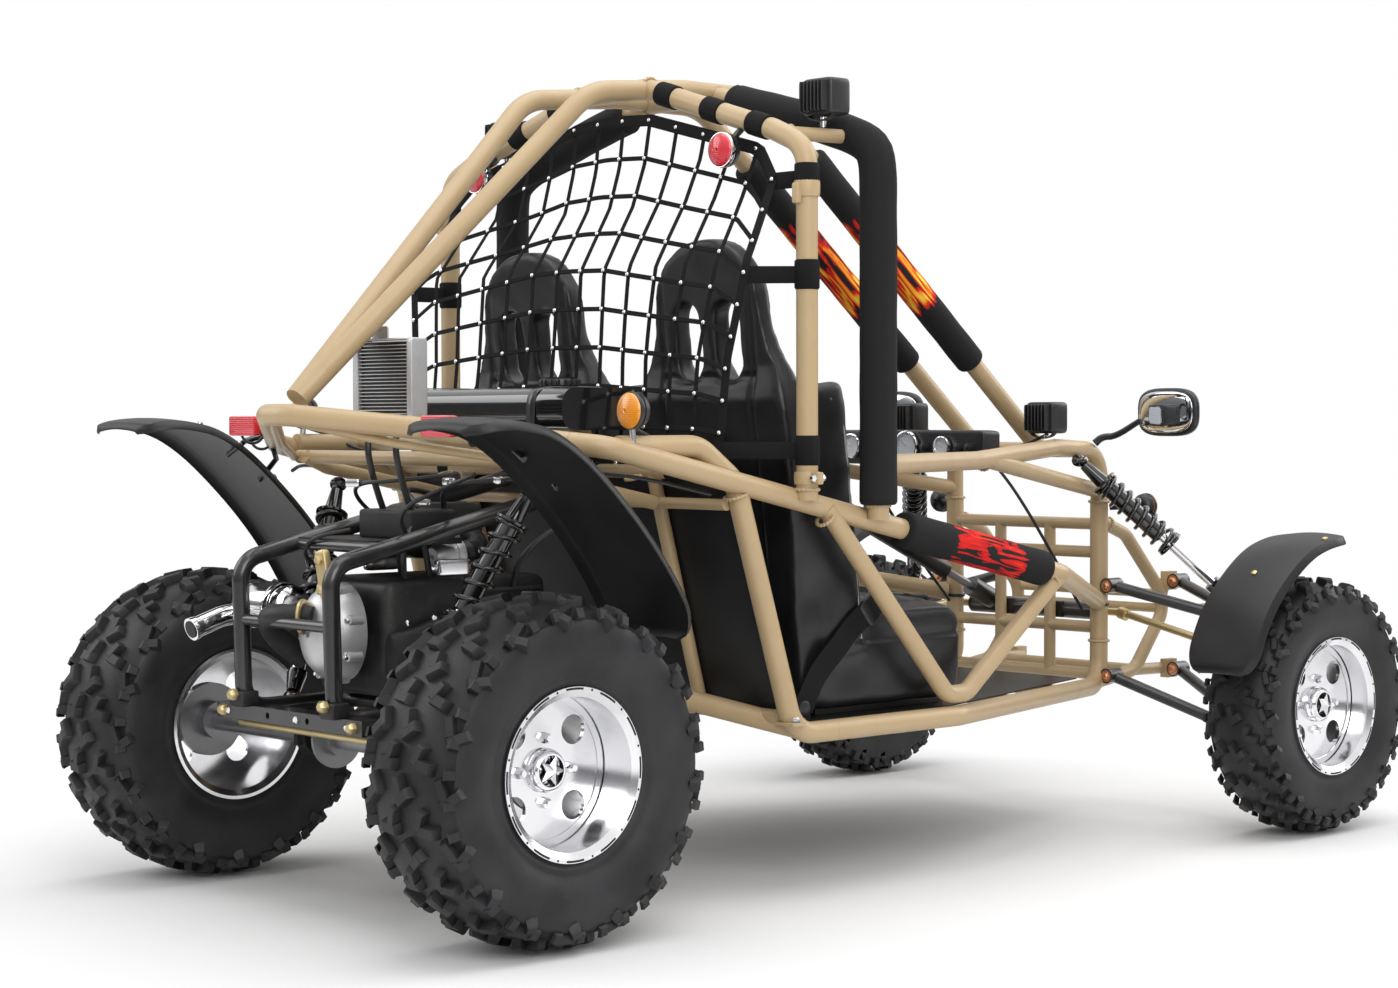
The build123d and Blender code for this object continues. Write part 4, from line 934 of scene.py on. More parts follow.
for _, side in sides:
    for lampFacts in roundLamps.values():
        addRoundLamp(*lampFacts, side)
    for holder, places, radius in lampStalks:
        lampBits[holder].append(tubeShape(onSide(places, side), radius, 10))
    for holder, place, size, squareness in reflectors:
        lampBits[holder].append(blockShape(onSide(place, side), size, squareness))
    for place, footZ in pods:
        addPod(place, footZ, side)
    addMirror(side)
addPiece("redLenses", joined(lampBits["red"]), "redLens", "chassis", 50, replaces=["tail_lamps"])
addPiece("amberLenses", joined(lampBits["amber"]), "amberLens", "chassis", 50,
         replaces=["indicators"])
addPiece("clearLenses", joined(lampBits["clear"]), "clearLens", "chassis", 50, replaces=["lamp_pods"])
addPiece("lampShells", joined(lampBits["shell"]), "shellPlastic", "chassis", 50, replaces=["mirrors"])
addPiece("mirrorGlass", joined(lampBits["glass"]), "mirrorGlass", "chassis", 50)
addPiece("lampBright", joined(lampBits["chrome"]), "chrome", "chassis", 50)

print("fenders")
fenders = dict(
    rear=dict(line=[(-0.197, 0.832), (-0.135, 0.846), (-0.02, 0.822), (0.128, 0.688), (0.226, 0.56),
                    (0.256, 0.486)],
              inside=0.368, outside=0.600, rounding=0.075,
              bolts=((0.2, -0.82), (0.34, -0.82), (0.5, -0.82), (0.8, 0.6))),
    front=dict(line=[(1.602, 0.342), (1.645, 0.44), (1.70, 0.506), (1.79, 0.572), (1.87, 0.597),
                     (1.952, 0.603)],
               inside=0.540, outside=0.710, rounding=0.06, bolts=((0.5, 0.0), (0.85, 0.8))),
)


def fenderShape(fender, side, thick=0.003, lip=0.012):
    # a curved panel: its width draws in to a quarter circle at both ends, and its border turns into a lip
    line, spots = smoothLine(fender["line"], 70)
    length, rounding = spots[-1], fender["rounding"]
    ends = np.minimum(spots, length - spots)
    near = np.clip(1 - ends / rounding, 0, 1)
    reach = 1 - 0.42 * (1 - np.sqrt(1 - near ** 2))
    ahead = np.gradient(line, axis=0)
    ahead /= np.linalg.norm(ahead, axis=1)[:, None]
    normal = np.stack([-ahead[:, 1], ahead[:, 0]], 1)
    u = np.linspace(-1, 1, 25)
    middle = (fender["inside"] + fender["outside"]) / 2
    half = (fender["outside"] - fender["inside"]) / 2
    edge = np.clip((np.abs(u)[None] - 0.9) / 0.1, 0, 1) ** 2
    endEdge = np.clip(1 - ends / 0.012, 0, 1)[:, None] ** 2
    drop = lip * np.maximum(edge, endEdge * 0.7) - 0.006 * (1 - u[None] ** 2)

    def surface(offset):
        # the sheet's places at this distance from its middle layer
        away = offset - drop
        y = line[:, 0][:, None] + normal[:, 0][:, None] * away
        z = line[:, 1][:, None] + normal[:, 1][:, None] * away
        x = side * (middle + half * reach[:, None] * u[None])
        return np.stack([np.broadcast_to(x, y.shape), y, z], -1)

    ring = np.concatenate([surface(thick / 2), surface(-thick / 2)[:, ::-1]], 1)
    points, faces = gridShape(at(ring), closeV=True)
    wide, last = ring.shape[1], (len(line) - 1) * ring.shape[1]
    for k in range(wide // 2 - 1):
        faces.append([k, k + 1, wide - 2 - k, wide - 1 - k])
        faces.append([last + wide - 1 - k, last + wide - 2 - k, last + k + 1, last + k])
    bolts, outward = [], []
    for share, across in fender["bolts"]:
        k = int(share * 69)
        bolts.append(surface(thick / 2)[k, int((across + 1) / 2 * 24)])
        outward.append((0, normal[k, 0], normal[k, 1]))
    return (points, faces), studsShape(at(np.array(bolts)), outward, 0.0065, 0.004, 12)


rearShapes = [fenderShape(fenders["rear"], side) for _, side in sides]
addPiece("rearFenderSheets", joined([shape[0] for shape in rearShapes]), "sheetPlastic", "chassis",
         50, replaces=["rear_fenders"])
addPiece("rearFenderBolts", joined([shape[1] for shape in rearShapes]), "chrome", "chassis", 40)
stays = []
for _, side in sides:
    for railX, stayY in ((0.32, 0.020), (0.42, 0.088)):
        places = [(railX, stayY, 0.818), (0.39, stayY - 0.004, 0.816 - stayY * 0.5),
                  (0.44, stayY - 0.008, 0.780 - (stayY - 0.02) * 0.7)]
        stays.append(tubeShape(onSide(places, side), 0.0055, 10))
addPiece("rearFenderStays", joined(stays), "blackPaint", "chassis")
for name, side in sides:
    sheetShape, boltShape = fenderShape(fenders["front"], side)
    addPiece(f"frontFenderSheet.{name}", sheetShape, "sheetPlastic", f"knuckle_{name}", 50,
             replaces=[f"front_fender_{name}"])
    addPiece(f"frontFenderBolts.{name}", boltShape, "zinc", f"knuckle_{name}", 40)

print("seats")
seatFacts = dict(x=0.257, baseY=0.640, lowZ=0.322, lean=0.115, voxel=0.0065, relaxed=26)


def seatFrame(side, across, along, forward):
    # places on the leaning back: across the seat, up along the back and forward from its rear face
    size = math.sqrt(1 + seatFacts["lean"] ** 2)
    up = np.array([0, -seatFacts["lean"], 1]) / size
    ahead = np.array([0, 1, seatFacts["lean"]]) / size
    base = onSide((seatFacts["x"], seatFacts["baseY"], seatFacts["lowZ"]), side)
    across, along, forward = np.broadcast_arrays(across, along, forward)
    return base + across[..., None] * [1.0, 0, 0] + along[..., None] * up + forward[..., None] * ahead


def groove(distance, wide):
    # 1 in the middle of a seam and next to nothing two widths away
    return np.exp(-(distance / wide) ** 2)


def softSeat(name, side):
    # the plain seat is remeshed evenly and relaxed, then crowned and grooved along its normals
    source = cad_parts[f"seat_{name}"]
    data = source.data.copy()
    work = bmesh.new()
    work.from_mesh(data)
    bmesh.ops.remove_doubles(work, verts=work.verts, dist=1e-5)
    work.to_mesh(data)
    work.free()
    rough = bpy.data.objects.new("seatRough", data)
    bpy.context.collection.objects.link(rough)
    remesh = rough.modifiers.new("remesh", "REMESH")
    remesh.mode = "VOXEL"
    remesh.voxel_size = seatFacts["voxel"]
    relax = rough.modifiers.new("relax", "SMOOTH")
    relax.factor = 0.5
    relax.iterations = seatFacts["relaxed"]
    depsgraph = bpy.context.evaluated_depsgraph_get()
    soft = bpy.data.meshes.new_from_object(rough.evaluated_get(depsgraph))
    bpy.data.objects.remove(rough)
    count = len(soft.vertices)
    points = np.empty(count * 3, np.float32)
    normals = np.empty(count * 3, np.float32)
    soft.vertices.foreach_get("co", points)
    soft.vertex_normals.foreach_get("vector", normals)
    points, normals = points.reshape(-1, 3).astype(float), normals.reshape(-1, 3).astype(float)
    size = math.sqrt(1 + seatFacts["lean"] ** 2)
    local = points - onSide((seatFacts["x"], seatFacts["baseY"], seatFacts["lowZ"]), side)
    across = local[:, 0]
    along = (local[:, 2] - seatFacts["lean"] * local[:, 1]) / size
    forward = (local[:, 1] + seatFacts["lean"] * local[:, 2]) / size
    facesFront = np.clip(normals[:, 1], 0, 1)
    facesBack = np.clip(-normals[:, 1], 0, 1)
    facesUp = np.clip(normals[:, 2], 0, 1)
    backZone = (along > 0.20) & (forward < 0.11)
    middle = np.abs(across) < 0.135
    lift = np.zeros(count)
    channels = np.abs((along - 0.03) % 0.072 - 0.036)
    lift -= 0.0075 * groove(channels - 0.036, 0.006) * facesFront * backZone * middle * (along < 0.60)
    lift += 0.006 * np.cos(across / 0.15 * 1.4) * facesFront * backZone
    lift -= 0.006 * groove(np.abs(across) - 0.138, 0.005) * facesFront * backZone
    lift -= 0.006 * groove(np.abs(across) - 0.118, 0.005) * facesBack * (along > 0.2) * (along < 0.84)
    lift -= 0.006 * groove(along - 0.60, 0.006) * (facesFront + facesBack) * (np.abs(across) < 0.12)
    seatPad = (along < 0.24) & (forward > 0.10)
    cross = np.abs((forward + 0.01) % 0.075 - 0.0375)
    lift -= 0.007 * groove(cross - 0.0375, 0.006) * facesUp * seatPad * (np.abs(across) < 0.125)
    lift += 0.012 * np.clip(1 - (across / 0.17) ** 2, 0, 1) * facesUp * seatPad
    lift -= 0.006 * groove(np.abs(across) - 0.132, 0.005) * facesUp * seatPad
    sideOut = np.clip(np.abs(normals[:, 0]), 0, 1)
    lift -= 0.004 * groove(local[:, 2] - 0.125, 0.004) * (sideOut + facesFront) * (forward > 0.13)
    wrinkle = np.sin(along * 61 + across * 23) * np.sin(across * 47 - forward * 35)
    lift += 0.0012 * wrinkle
    headShare = np.clip((along - 0.56) / 0.06, 0, 1)
    thinner = (0.036 - forward) * 0.42 * headShare * (forward < 0.12)
    slotX = np.where(across > 0, 0.052, -0.052)
    fromSlot = np.stack([across - slotX, along - np.clip(along, 0.626, 0.704)], 1)
    slotDistance = np.linalg.norm(fromSlot, axis=1) + 1e-6
    widen = np.clip(1 - (slotDistance - 0.026) / 0.022, 0, 1) * 0.007 * (slotDistance < 0.048)
    fromSlot = fromSlot / slotDistance[:, None] * widen[:, None]
    moved = points + normals * lift[:, None]
    moved += thinner[:, None] * np.array([0, 1, seatFacts["lean"]]) / size
    moved += fromSlot[:, :1] * [1.0, 0, 0] + fromSlot[:, 1:] * np.array([0, -seatFacts["lean"], 1]) / size
    moved[:, 2] = np.maximum(moved[:, 2], seatFacts["lowZ"] + 0.002)
    soft.vertices.foreach_set("co", moved.astype(np.float32).ravel())
    soft.polygons.foreach_set("use_smooth", np.ones(len(soft.polygons), bool))
    soft.update()
    soft.materials.clear()
    soft.materials.append(materials["vinyl"])
    pad = bpy.data.objects.new(f"seatPad.{name}", soft)
    bpy.context.collection.objects.link(pad)
    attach(pad, "chassis")
    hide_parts(f"seat_{name}")


piping = []
for name, side in sides:
    softSeat(name, side)
    for wing in (-1, 1):
        along = np.linspace(0.11, 0.55, 24)
        edge = seatFrame(side, wing * 0.1985, along,
                         0.148 - 0.03 * np.clip((along - 0.47) / 0.08, 0, 1) ** 2)
        piping.append(tubeShape(edge, 0.0022, 8))
addPiece("seatPiping", joined(piping), "greyTrim", "chassis", 60)

print("belts")
belts = dict(
    outer=[(0.463, 0.620, 0.334), (0.463, 0.640, 0.372), (0.463, 0.690, 0.428), (0.463, 0.745, 0.470),
           (0.459, 0.80, 0.505)],
    inner=[(0.046, 0.626, 0.345), (0.046, 0.66, 0.40), (0.048, 0.70, 0.45), (0.050, 0.735, 0.485)],
)
beltBits, buckleBits = [], []
for _, side in sides:
    for places in belts.values():
        route, spots = smoothLine(places, 40)
        route = route + np.stack([0.0012 * np.sin(spots * 60), 0 * spots, 0.002 * np.sin(spots * 38)], 1)
        anchor, end = onSide(route[0], side), onSide(route[-1], side)
        beltBits.append(ribbonShape(onSide(route, side), 0.046, 0.0028, (0, 0.66, -0.75)))
        beltBits.append(blockShape(anchor - [0, 0.002, 0.008], (0.008, 0.036, 0.04), 0.3))
        buckleBits.append(blockShape(end, (0.014, 0.062, 0.05), 0.3, rotation("X", 38)))
        bolt = [(-0.006, onAxis), (-0.006, 0.014), (0.004, 0.014), (0.006, 0.009), (0.006, onAxis)]
        buckleBits.append(latheShape(bolt, anchor, (1, 0, 0), 20))
addPiece("lapBeltWebbing", joined(beltBits), "webbing", "chassis", 50, replaces=["lap_belts"])
addPiece("lapBeltBuckles", joined(buckleBits), "shellPlastic", "chassis", 50)

print("struts")
strutDark, strutBright = [], []
for strut in struts.values():
    for _, side in sides:
        a, b = onSide(strut["top"], side), onSide(strut["foot"], side)
        length = np.linalg.norm(b - a)
        way = (b - a) / length
        seat, perch = strut["seat"], strut["perch"]
        outlines = [
            ([(0.03, onAxis), (0.03, 0.011), (seat - 0.02, 0.016), (seat - 0.012, 0.0295),
              (seat - 0.002, 0.0295), (seat, 0.0185), (0.54, 0.0185), (0.55, 0.012), (0.55, onAxis)], 28),
            ([(perch, 0.017), (perch, 0.0290), (perch + 0.01, 0.0295), (perch + 0.014, 0.0175)], 28),
            ([(0.88, onAxis), (0.88, 0.017), (0.90, 0.018), (0.97, 0.013), (0.97, onAxis)], 24),
        ]
        for outline, steps in outlines:    # body, spring perch and foot, as shares of the strut's length
            scaled = [(share * length, radius) for share, radius in outline]
            strutDark.append(latheShape(scaled, a, way, steps))
        cross = np.cross(way, (0, 0, 1))
        cross /= np.linalg.norm(cross)
        for shift in strut["rods"]:
            rod = [a + way * length * share + cross * shift for share in (0.5, 0.72, 0.93)]
            strutBright.append(tubeShape(rod, strut["rod"], 18))
        for end, wide in ((a, 0.022), (b, 0.020)):
            eye = bandProfile(-wide / 2, wide / 2, 0.006, 0.0135)
            strutDark.append(turnedShape(eye, end, strut["axis"], 28))
            pin = bandProfile(-0.0165, 0.0165, onAxis, 0.0075)
            strutBright.append(latheShape(pin, end, strut["axis"], 12))
addPiece("strutDark", joined(strutDark), "glossBlack", "chassis", 40, replaces=["strut_bodies"])
addPiece("strutBright", joined(strutBright), "chrome", "chassis", 40)

print("engine bay")
engineDark, engineBright, engineCast, engineZinc, hoses = [], [], [], [], []
right, ahead, behind, upward = (1, 0, 0), (0, 1, 0), (0, -1, 0), (0, 0, 1)

muffler = dict(
    place=(-0.150, -0.086, 0.520), bands=(-0.045, 0.04),
    can=[(-0.078, onAxis), (-0.078, 0.026), (-0.066, 0.040), (0.066, 0.040), (0.078, 0.026),
         (0.078, onAxis)],
    tail=[(-0.205, -0.105, 0.505), (-0.205, -0.150, 0.502), (-0.205, -0.170, 0.495),
          (-0.205, -0.214, 0.481)],
    inlet=[(-0.1115, 0.080, 0.490), (-0.150, 0.080, 0.490), (-0.150, 0.03, 0.499), (-0.150, -0.055, 0.514)],
    elbow=[(0.03, -0.118, 0.508), (-0.02, -0.148, 0.512), (-0.07, -0.148, 0.505), (-0.088, -0.115, 0.47),
           (-0.088, -0.06, 0.43)],
)


def addMuffler():
    # the canister with its bands, the tail pipe with a wider end and a black disc that paints the shade
    # inside its mouth, the inlet and the elbow
    place = at(muffler["place"])
    engineBright.append(turnedShape(muffler["can"], place, right, 48))
    for band in muffler["bands"]:
        ring = bandProfile(band - 0.008, band + 0.008, 0.0395, 0.0425)
        engineBright.append(turnedShape(ring, place, right, 48))
    tailRadius = np.where(np.arange(16) > 13, 0.0205, 0.0185)
    engineBright.append(hoseShape(muffler["tail"], 16, tailRadius, 28))
    # painted shade: a thin black disc over the pipe's closed end stands in for the shade inside the open
    # mouth
    mouthShade = bandProfile(0, 0.0008, onAxis, 0.0155)
    engineDark.append(latheShape(mouthShade, at((-0.205, -0.2148, 0.4808)), (0, -0.96, -0.28), 24))
    engineDark.append(hoseShape(muffler["inlet"], 24, 0.0148, 18))
    engineDark.append(hoseShape(muffler["elbow"], 32, 0.021, 22))
    flange = bandProfile(-0.004, 0.004, 0.0205, 0.031)
    engineZinc.append(turnedShape(flange, at((0.012, -0.128, 0.510)), (0.8, 0.6, 0), 28))


gearCase = dict(
    place=(0.022, -0.04, 0.482), bosses=8, bossRing=0.076, stretch=(0.86, 1, 1.08),
    cover=[(0.0, onAxis), (0.0, 0.078), (0.035, 0.078), (0.055, 0.070), (0.075, 0.052), (0.083, 0.026),
           (0.086, onAxis)],
    boss=[(0, onAxis), (0, 0.0095), (0.026, 0.0085), (0.028, onAxis)],
)


def addGearCase():
    # a domed cover, narrower across than it is high, with bolted bosses round it and five ribs
    place, stretch = at(gearCase["place"]), np.array(gearCase["stretch"])
    points, faces = turnedShape(gearCase["cover"], place, behind, 56)
    engineCast.append((place + (points - place) * stretch, faces))
    for turn in np.arange(gearCase["bosses"]) * math.pi / 4 + 0.3:
        out = np.array([math.cos(turn), 0, math.sin(turn)]) * gearCase["bossRing"] * stretch
        boss = place + out + [0, -0.030, 0]
        engineCast.append(latheShape(gearCase["boss"], boss + [0, 0.012, 0], behind, 16))
        engineBright.append(studsShape([boss + [0, -0.016, 0]], behind, 0.0058, 0.005))
    for rib in np.linspace(-0.05, 0.05, 5):
        drop = abs(rib) * 0.3
        size = (0.005, 0.03, (0.066 - drop) * 1.5)
        engineCast.append(blockShape(place + [rib, -0.056 + drop, 0], size, 0.4, None, 12, 8))


beltCase = dict(places=[(0.118, -0.02, 0.42), (0.121, 0.09, 0.43), (0.121, 0.20, 0.45), (0.118, 0.29, 0.46)],
                middleX=0.119, flattened=0.34)


def addBeltCase():
    # the drive belt's cover: a tube that swells by a squared sine, pressed flat, with two rows of bolts
    radius = 0.062 + 0.018 * np.sin(np.linspace(0, np.pi, 20)) ** 2
    points, faces = hoseShape(beltCase["places"], 20, radius, 32)
    points[:, 0] = beltCase["middleX"] + (points[:, 0] - beltCase["middleX"]) * beltCase["flattened"]
    engineDark.append((points, faces))
    for y in np.linspace(0.0, 0.27, 6):
        for z in (0.385, 0.50):
            engineBright.append(studsShape([at((0.139, y, z + y * 0.12))], right, 0.0055, 0.004))


engineBlocks = [    # where it goes, place, size, squareness, leans about X and Y, and its rows of points
    (engineDark, (0.0, 0.155, 0.470), (0.218, 0.355, 0.205), 0.16, 0, 0, 40, 24),       # crankcase
    (engineDark, (-0.02, 0.055, 0.634), (0.235, 0.20, 0.012), 0.12, 0, 0, 24, 6),       # tray
    (engineDark, (0.035, 0.075, 0.664), (0.15, 0.11, 0.052), 0.16, 0, 0, 28, 14),       # battery box
    (engineDark, (-0.085, 0.22, 0.645), (0.11, 0.16, 0.10), 0.3, 0, 0, 32, 18),         # air box
    (engineBright, (-0.092, 0.11, 0.590), (0.012, 0.075, 0.028), 0.3, 0, 0, 20, 10),    # clips
    (engineBright, (0.118, 0.11, 0.590), (0.012, 0.075, 0.028), 0.3, 0, 0, 20, 10),
    (engineZinc, (-0.075, 0.072, 0.315), (0.036, 0.05, 0.052), 0.25, 30, 0, 24, 14),    # brake caliper
    (engineZinc, (0.085, -0.132, 0.585), (0.03, 0.016, 0.085), 0.3, 0, -14, 20, 12),    # stay of the elbow
    (engineDark, (-0.137, -0.150, 0.362), (0.042, 0.036, 0.028), 0.2, 0, 0, 20, 10),    # rear bar's feet
    (engineDark, (0.137, -0.150, 0.362), (0.042, 0.036, 0.028), 0.2, 0, 0, 20, 10),
]
engineBolts = [    # where they go, places, radius and height
    (engineZinc, [(0.088, -0.142, 0.56), (0.082, -0.142, 0.61), (0.075, -0.118, 0.42)], 0.009, 0.007),
    (engineZinc, [(-0.137, -0.172, 0.37), (-0.195, -0.155, 0.338)], 0.011, 0.01),
    (engineZinc, [(0.137, -0.172, 0.37), (0.195, -0.155, 0.338)], 0.011, 0.01),
    (engineBright, [(-0.18, -0.154, 0.338), (0.03, -0.154, 0.338), (0.18, -0.154, 0.338)], 0.007, 0.005),
]
carburettor = dict(
    barrel=[(-0.04, onAxis), (-0.04, 0.022), (0.0, 0.026), (0.0, 0.030), (0.02, 0.030), (0.02, onAxis)],
    dome=[(0, onAxis), (0, 0.021), (0.045, 0.021), (0.05, 0.012), (0.05, onAxis)],
    boot=[(0.045, 0.172, 0.607), (0.045, 0.22, 0.615), (0.0, 0.25, 0.63), (-0.05, 0.25, 0.64)],
)
engineRoutes = [    # cables and hoses that lie between the engine and the frame
    [(0.045, 0.155, 0.664), (0.07, 0.12, 0.72), (0.15, 0.10, 0.735), (0.24, 0.12, 0.742),
     (0.36, 0.2, 0.752)],
    [(-0.06, 0.12, 0.645), (-0.08, 0.05, 0.70), (-0.02, 0.0, 0.735), (0.08, 0.02, 0.74),
     (0.16, 0.09, 0.752)],
    [(0.10, 0.02, 0.575), (0.125, 0.0, 0.625), (0.10, 0.04, 0.672), (0.07, 0.075, 0.685)],
    [(-0.10, 0.02, 0.57), (-0.118, -0.04, 0.60), (-0.07, -0.06, 0.64), (0.0, -0.02, 0.655)],
    [(-0.150, 0.30, 0.70), (-0.13, 0.20, 0.72), (-0.06, 0.14, 0.715), (0.03, 0.10, 0.695)],
    [(0.21, 0.09, 0.752), (0.20, 0.03, 0.73), (0.13, -0.02, 0.69), (0.11, 0.03, 0.63)],
    [(0.12, 0.24, 0.55), (0.16, 0.22, 0.60), (0.19, 0.28, 0.66), (0.24, 0.38, 0.69)],
]
connectors = [(0.13, 0.095, 0.738), (-0.02, 0.0, 0.735), (0.06, 0.09, 0.70), (0.24, 0.12, 0.742)]

addMuffler()
addGearCase()
addBeltCase()
for holder, place, size, squareness, leanX, leanY, nu, nv in engineBlocks:
    turn = rotation("X", leanX) @ rotation("Y", leanY)
    holder.append(blockShape(at(place), size, squareness, turn, nu, nv))
for holder, places, radius, height in engineBolts:
    holder.append(studsShape(at(places), behind, radius, height))
for level in np.linspace(0.395, 0.548, 9):    # cooling fins
    engineDark.append(blockShape(at((0.0, 0.235, level)), (0.25, 0.165, 0.0055), 0.18, None, 28, 6))
engineCast.append(turnedShape(carburettor["barrel"], at((0.045, 0.16, 0.607)), (0, 1, 0.1), 28))
engineCast.append(turnedShape(carburettor["dome"], at((0.045, 0.155, 0.612)), upward, 24))
bootRadius = 0.019 + 0.002 * np.sin(np.arange(30) * 1.6)
engineDark.append(hoseShape(carburettor["boot"], 30, bootRadius, 18))
engineZinc.append(tubeShape(at([(-0.205, -0.112, 0.313), (0.205, -0.112, 0.313)]), 0.0075, 14))
for k, route in enumerate(engineRoutes):
    hoses.append(hoseShape(route, 40, 0.0036 if k % 2 else 0.0052, 10))
for k, place in enumerate(connectors):
    engineBright.append(blockShape(at(place), (0.026, 0.016, 0.014), 0.3, rotation("Z", 35 * k), 14, 8))
addPiece("engineDark", joined(engineDark), "engineBlack", "chassis", 35, replaces=["engine_block"])
addPiece("engineCast", joined(engineCast), "castAlloy", "chassis", 40, replaces=["gear_case"])
addPiece("engineBright", joined(engineBright), "chrome", "chassis", 40, replaces=["muffler"])
addPiece("engineZinc", joined(engineZinc), "zinc", "chassis", 40)
addPiece("engineHoses", joined(hoses), "shellPlastic", "chassis", 60)

print("drive chain")
chainDrive = dict(x=0.212, pitch=0.0127, rear=(0.0, 0.285), rearRadius=0.0945, front=(0.235, 0.405),
                  frontRadius=0.034)


def chainLoop():
    # the chain leaves each sprocket at the angle whose cosine is the radii's difference over their distance
    rear, front = np.array(chainDrive["rear"]), np.array(chainDrive["front"])
    heading, reach = math.atan2(*(front - rear)[::-1]), math.hypot(*(front - rear))
    tilt = math.acos((chainDrive["rearRadius"] - chainDrive["frontRadius"]) / reach)
    big = np.linspace(heading + tilt, heading + 2 * math.pi - tilt, 40)
    small = np.linspace(heading - tilt, heading + tilt, 14)
    loop = np.concatenate([rear + chainDrive["rearRadius"] * np.stack([np.cos(big), np.sin(big)], 1),
                           front + chainDrive["frontRadius"] * np.stack([np.cos(small), np.sin(small)], 1)])
    loop = np.concatenate([loop, loop[:1]])
    step = np.concatenate([[0], np.cumsum(np.linalg.norm(np.diff(loop, axis=0), axis=1))])
    spots = np.arange(0, step[-1], chainDrive["pitch"])
    return np.stack([np.interp(spots, step, loop[:, axis]) for axis in range(2)], 1)


chain = []
links = chainLoop()
linkWay = np.gradient(links, axis=0)
for k, (y, z) in enumerate(links):
    turn = rotation("X", math.degrees(math.atan2(linkWay[k, 1], linkWay[k, 0])))
    size = (0.012 if k % 2 else 0.0085, 0.0135, 0.0078)
    chain.append(blockShape(at((chainDrive["x"], y, z)), size, 0.4, turn, 10, 6))
frontSprocket = at((chainDrive["x"], *chainDrive["front"]))
chain.append(latheShape(bandProfile(-0.003, 0.003, 0.009, 0.031), frontSprocket, right, 36))
shaft = at([(0.10, *chainDrive["front"]), (0.222, *chainDrive["front"])])
chain.append(tubeShape(shaft, 0.0095, 16))
addPiece("driveChain", joined(chain), "greySteel", "chassis", 40)

print("oil cooler")
cooler = dict(place=(0.037, 0.037, 0.917), tank=(0.015, 0.034, 0.136), coreShade=(0.148, 0.016, 0.126), fins=21,
              hoses=(-0.004, 0.078))
coolerPlace = at(cooler["place"])
coolerBits = []
for x in (-0.0795, 0.0795):
    coolerBits.append(blockShape(coolerPlace + [x, 0, 0], cooler["tank"], 0.14, None, 28, 16))
for k, level in enumerate(np.linspace(-0.062, 0.062, cooler["fins"])):
    size = (0.150, 0.030 if round(level * 161.3) % 2 else 0.026, 0.0016)
    coolerBits.append(blockShape(coolerPlace + [0, 0, level], size, 0.1, None, 16, 4))
for level in (-0.0665, 0.0665):
    coolerBits.append(blockShape(coolerPlace + [0, 0, level], (0.166, 0.034, 0.0035), 0.12, None, 20, 5))
coolerBits.append(blockShape(at((0.010, 0.037, 0.994)), (0.046, 0.004, 0.026), 0.25))
# painted shade: a black block inside the fin stack stands in for the shade between the fins; the hoses added
# to it are black rubber
coolerShadeAndHoses = [blockShape(coolerPlace, cooler["coreShade"], 0.1, None, 20, 8)]
for x in cooler["hoses"]:
    hose = [(x, 0.030, 0.851), (x, 0.020, 0.820), (x + 0.01, 0.012, 0.78), (x, 0.045, 0.70), (x, 0.08, 0.63),
            (x, 0.09, 0.572)]
    coolerShadeAndHoses.append(hoseShape(hose, 40, 0.0058, 14))
    fitting = bandProfile(-0.014, 0.012, onAxis, 0.008, 0.009)
    coolerBits.append(turnedShape(fitting, at((x, 0.028, 0.842)), (0, 0.3, 1), 12))
addPiece("oilCoolerCore", joined(coolerBits), "castAlloy", "chassis", 35, replaces=["oil_cooler"])
# the black block is painted shade between the fins, and the hoses are their own black
addPiece("oilCoolerShadeAndHoses", joined(coolerShadeAndHoses), "shellPlastic", "chassis", 40)

print("dash, pedals and steering wheel")
dash = dict(place=(0, 1.404, 0.785), size=(0.430, 0.056, 0.072), gaugeY=1.3735, gaugeZ=0.787,
            gauges=((-0.150, 0.027), (-0.085, 0.027), (0.010, 0.033), (0.110, 0.022)),    # x and radius
            knobs=(0.058, 0.152, 0.180), brackets=(-0.150, 0.150))
dashDark = [blockShape(at(dash["place"]), dash["size"], 0.13, None, 64, 20)]
dashBright, dashFace = [], []
for x, radius in dash["gauges"]:    # a rim, a face, eleven ticks and a needle
    place = at((x, dash["gaugeY"], dash["gaugeZ"]))
    rim = [(0, radius * 0.84), (0, radius), (0.010, radius), (0.011, radius * 0.86)]
    dashBright.append(turnedShape(rim, place, behind, 40))
    dashFace.append(latheShape(bandProfile(0, 0.004, onAxis, radius * 0.87), place, behind, 36))
    needle = place + np.array([[0, -0.0055, 0], [-radius * 0.5, -0.0055, radius * 0.45]])
    dashBright.append(tubeShape(needle, 0.0011, 6))
    ticks = np.linspace(-0.7, np.pi + 0.7, 11)
    marks = place + np.stack([radius * 0.74 * np.cos(ticks), 0 * ticks - 0.0035,
                              radius * 0.74 * np.sin(ticks)], 1)
    dashBright.append(studsShape(marks, behind, 0.0012, 0.0012, 6, 0.8))
knob = [(0, onAxis), (0, 0.009), (0.012, 0.008), (0.014, onAxis)]
for x in dash["knobs"]:
    dashDark.append(latheShape(knob, at((x, 1.376, 0.786)), behind, 20))
for x in dash["brackets"]:
    dashDark.append(blockShape(at((x, 1.448, 0.790)), (0.03, 0.05, 0.012), 0.2))
addPiece("dashHousing", joined(dashDark), "shellPlastic", "chassis", 40, replaces=["dashboard"])
addPiece("dashRings", joined(dashBright), "chrome", "chassis", 50)
addPiece("dashFaces", joined(dashFace), "clearLens", "chassis", 50)

pedals = dict(floor=0.2965, lean=15, pads=((-0.205, 0.062), (-0.132, 0.044)),
              ridges=(-0.018, -0.006, 0.006, 0.018))


def pedalPlace(x, y, height):
    # a place at a height above the pedals' floor
    return at((x, y, pedals["floor"] + height))


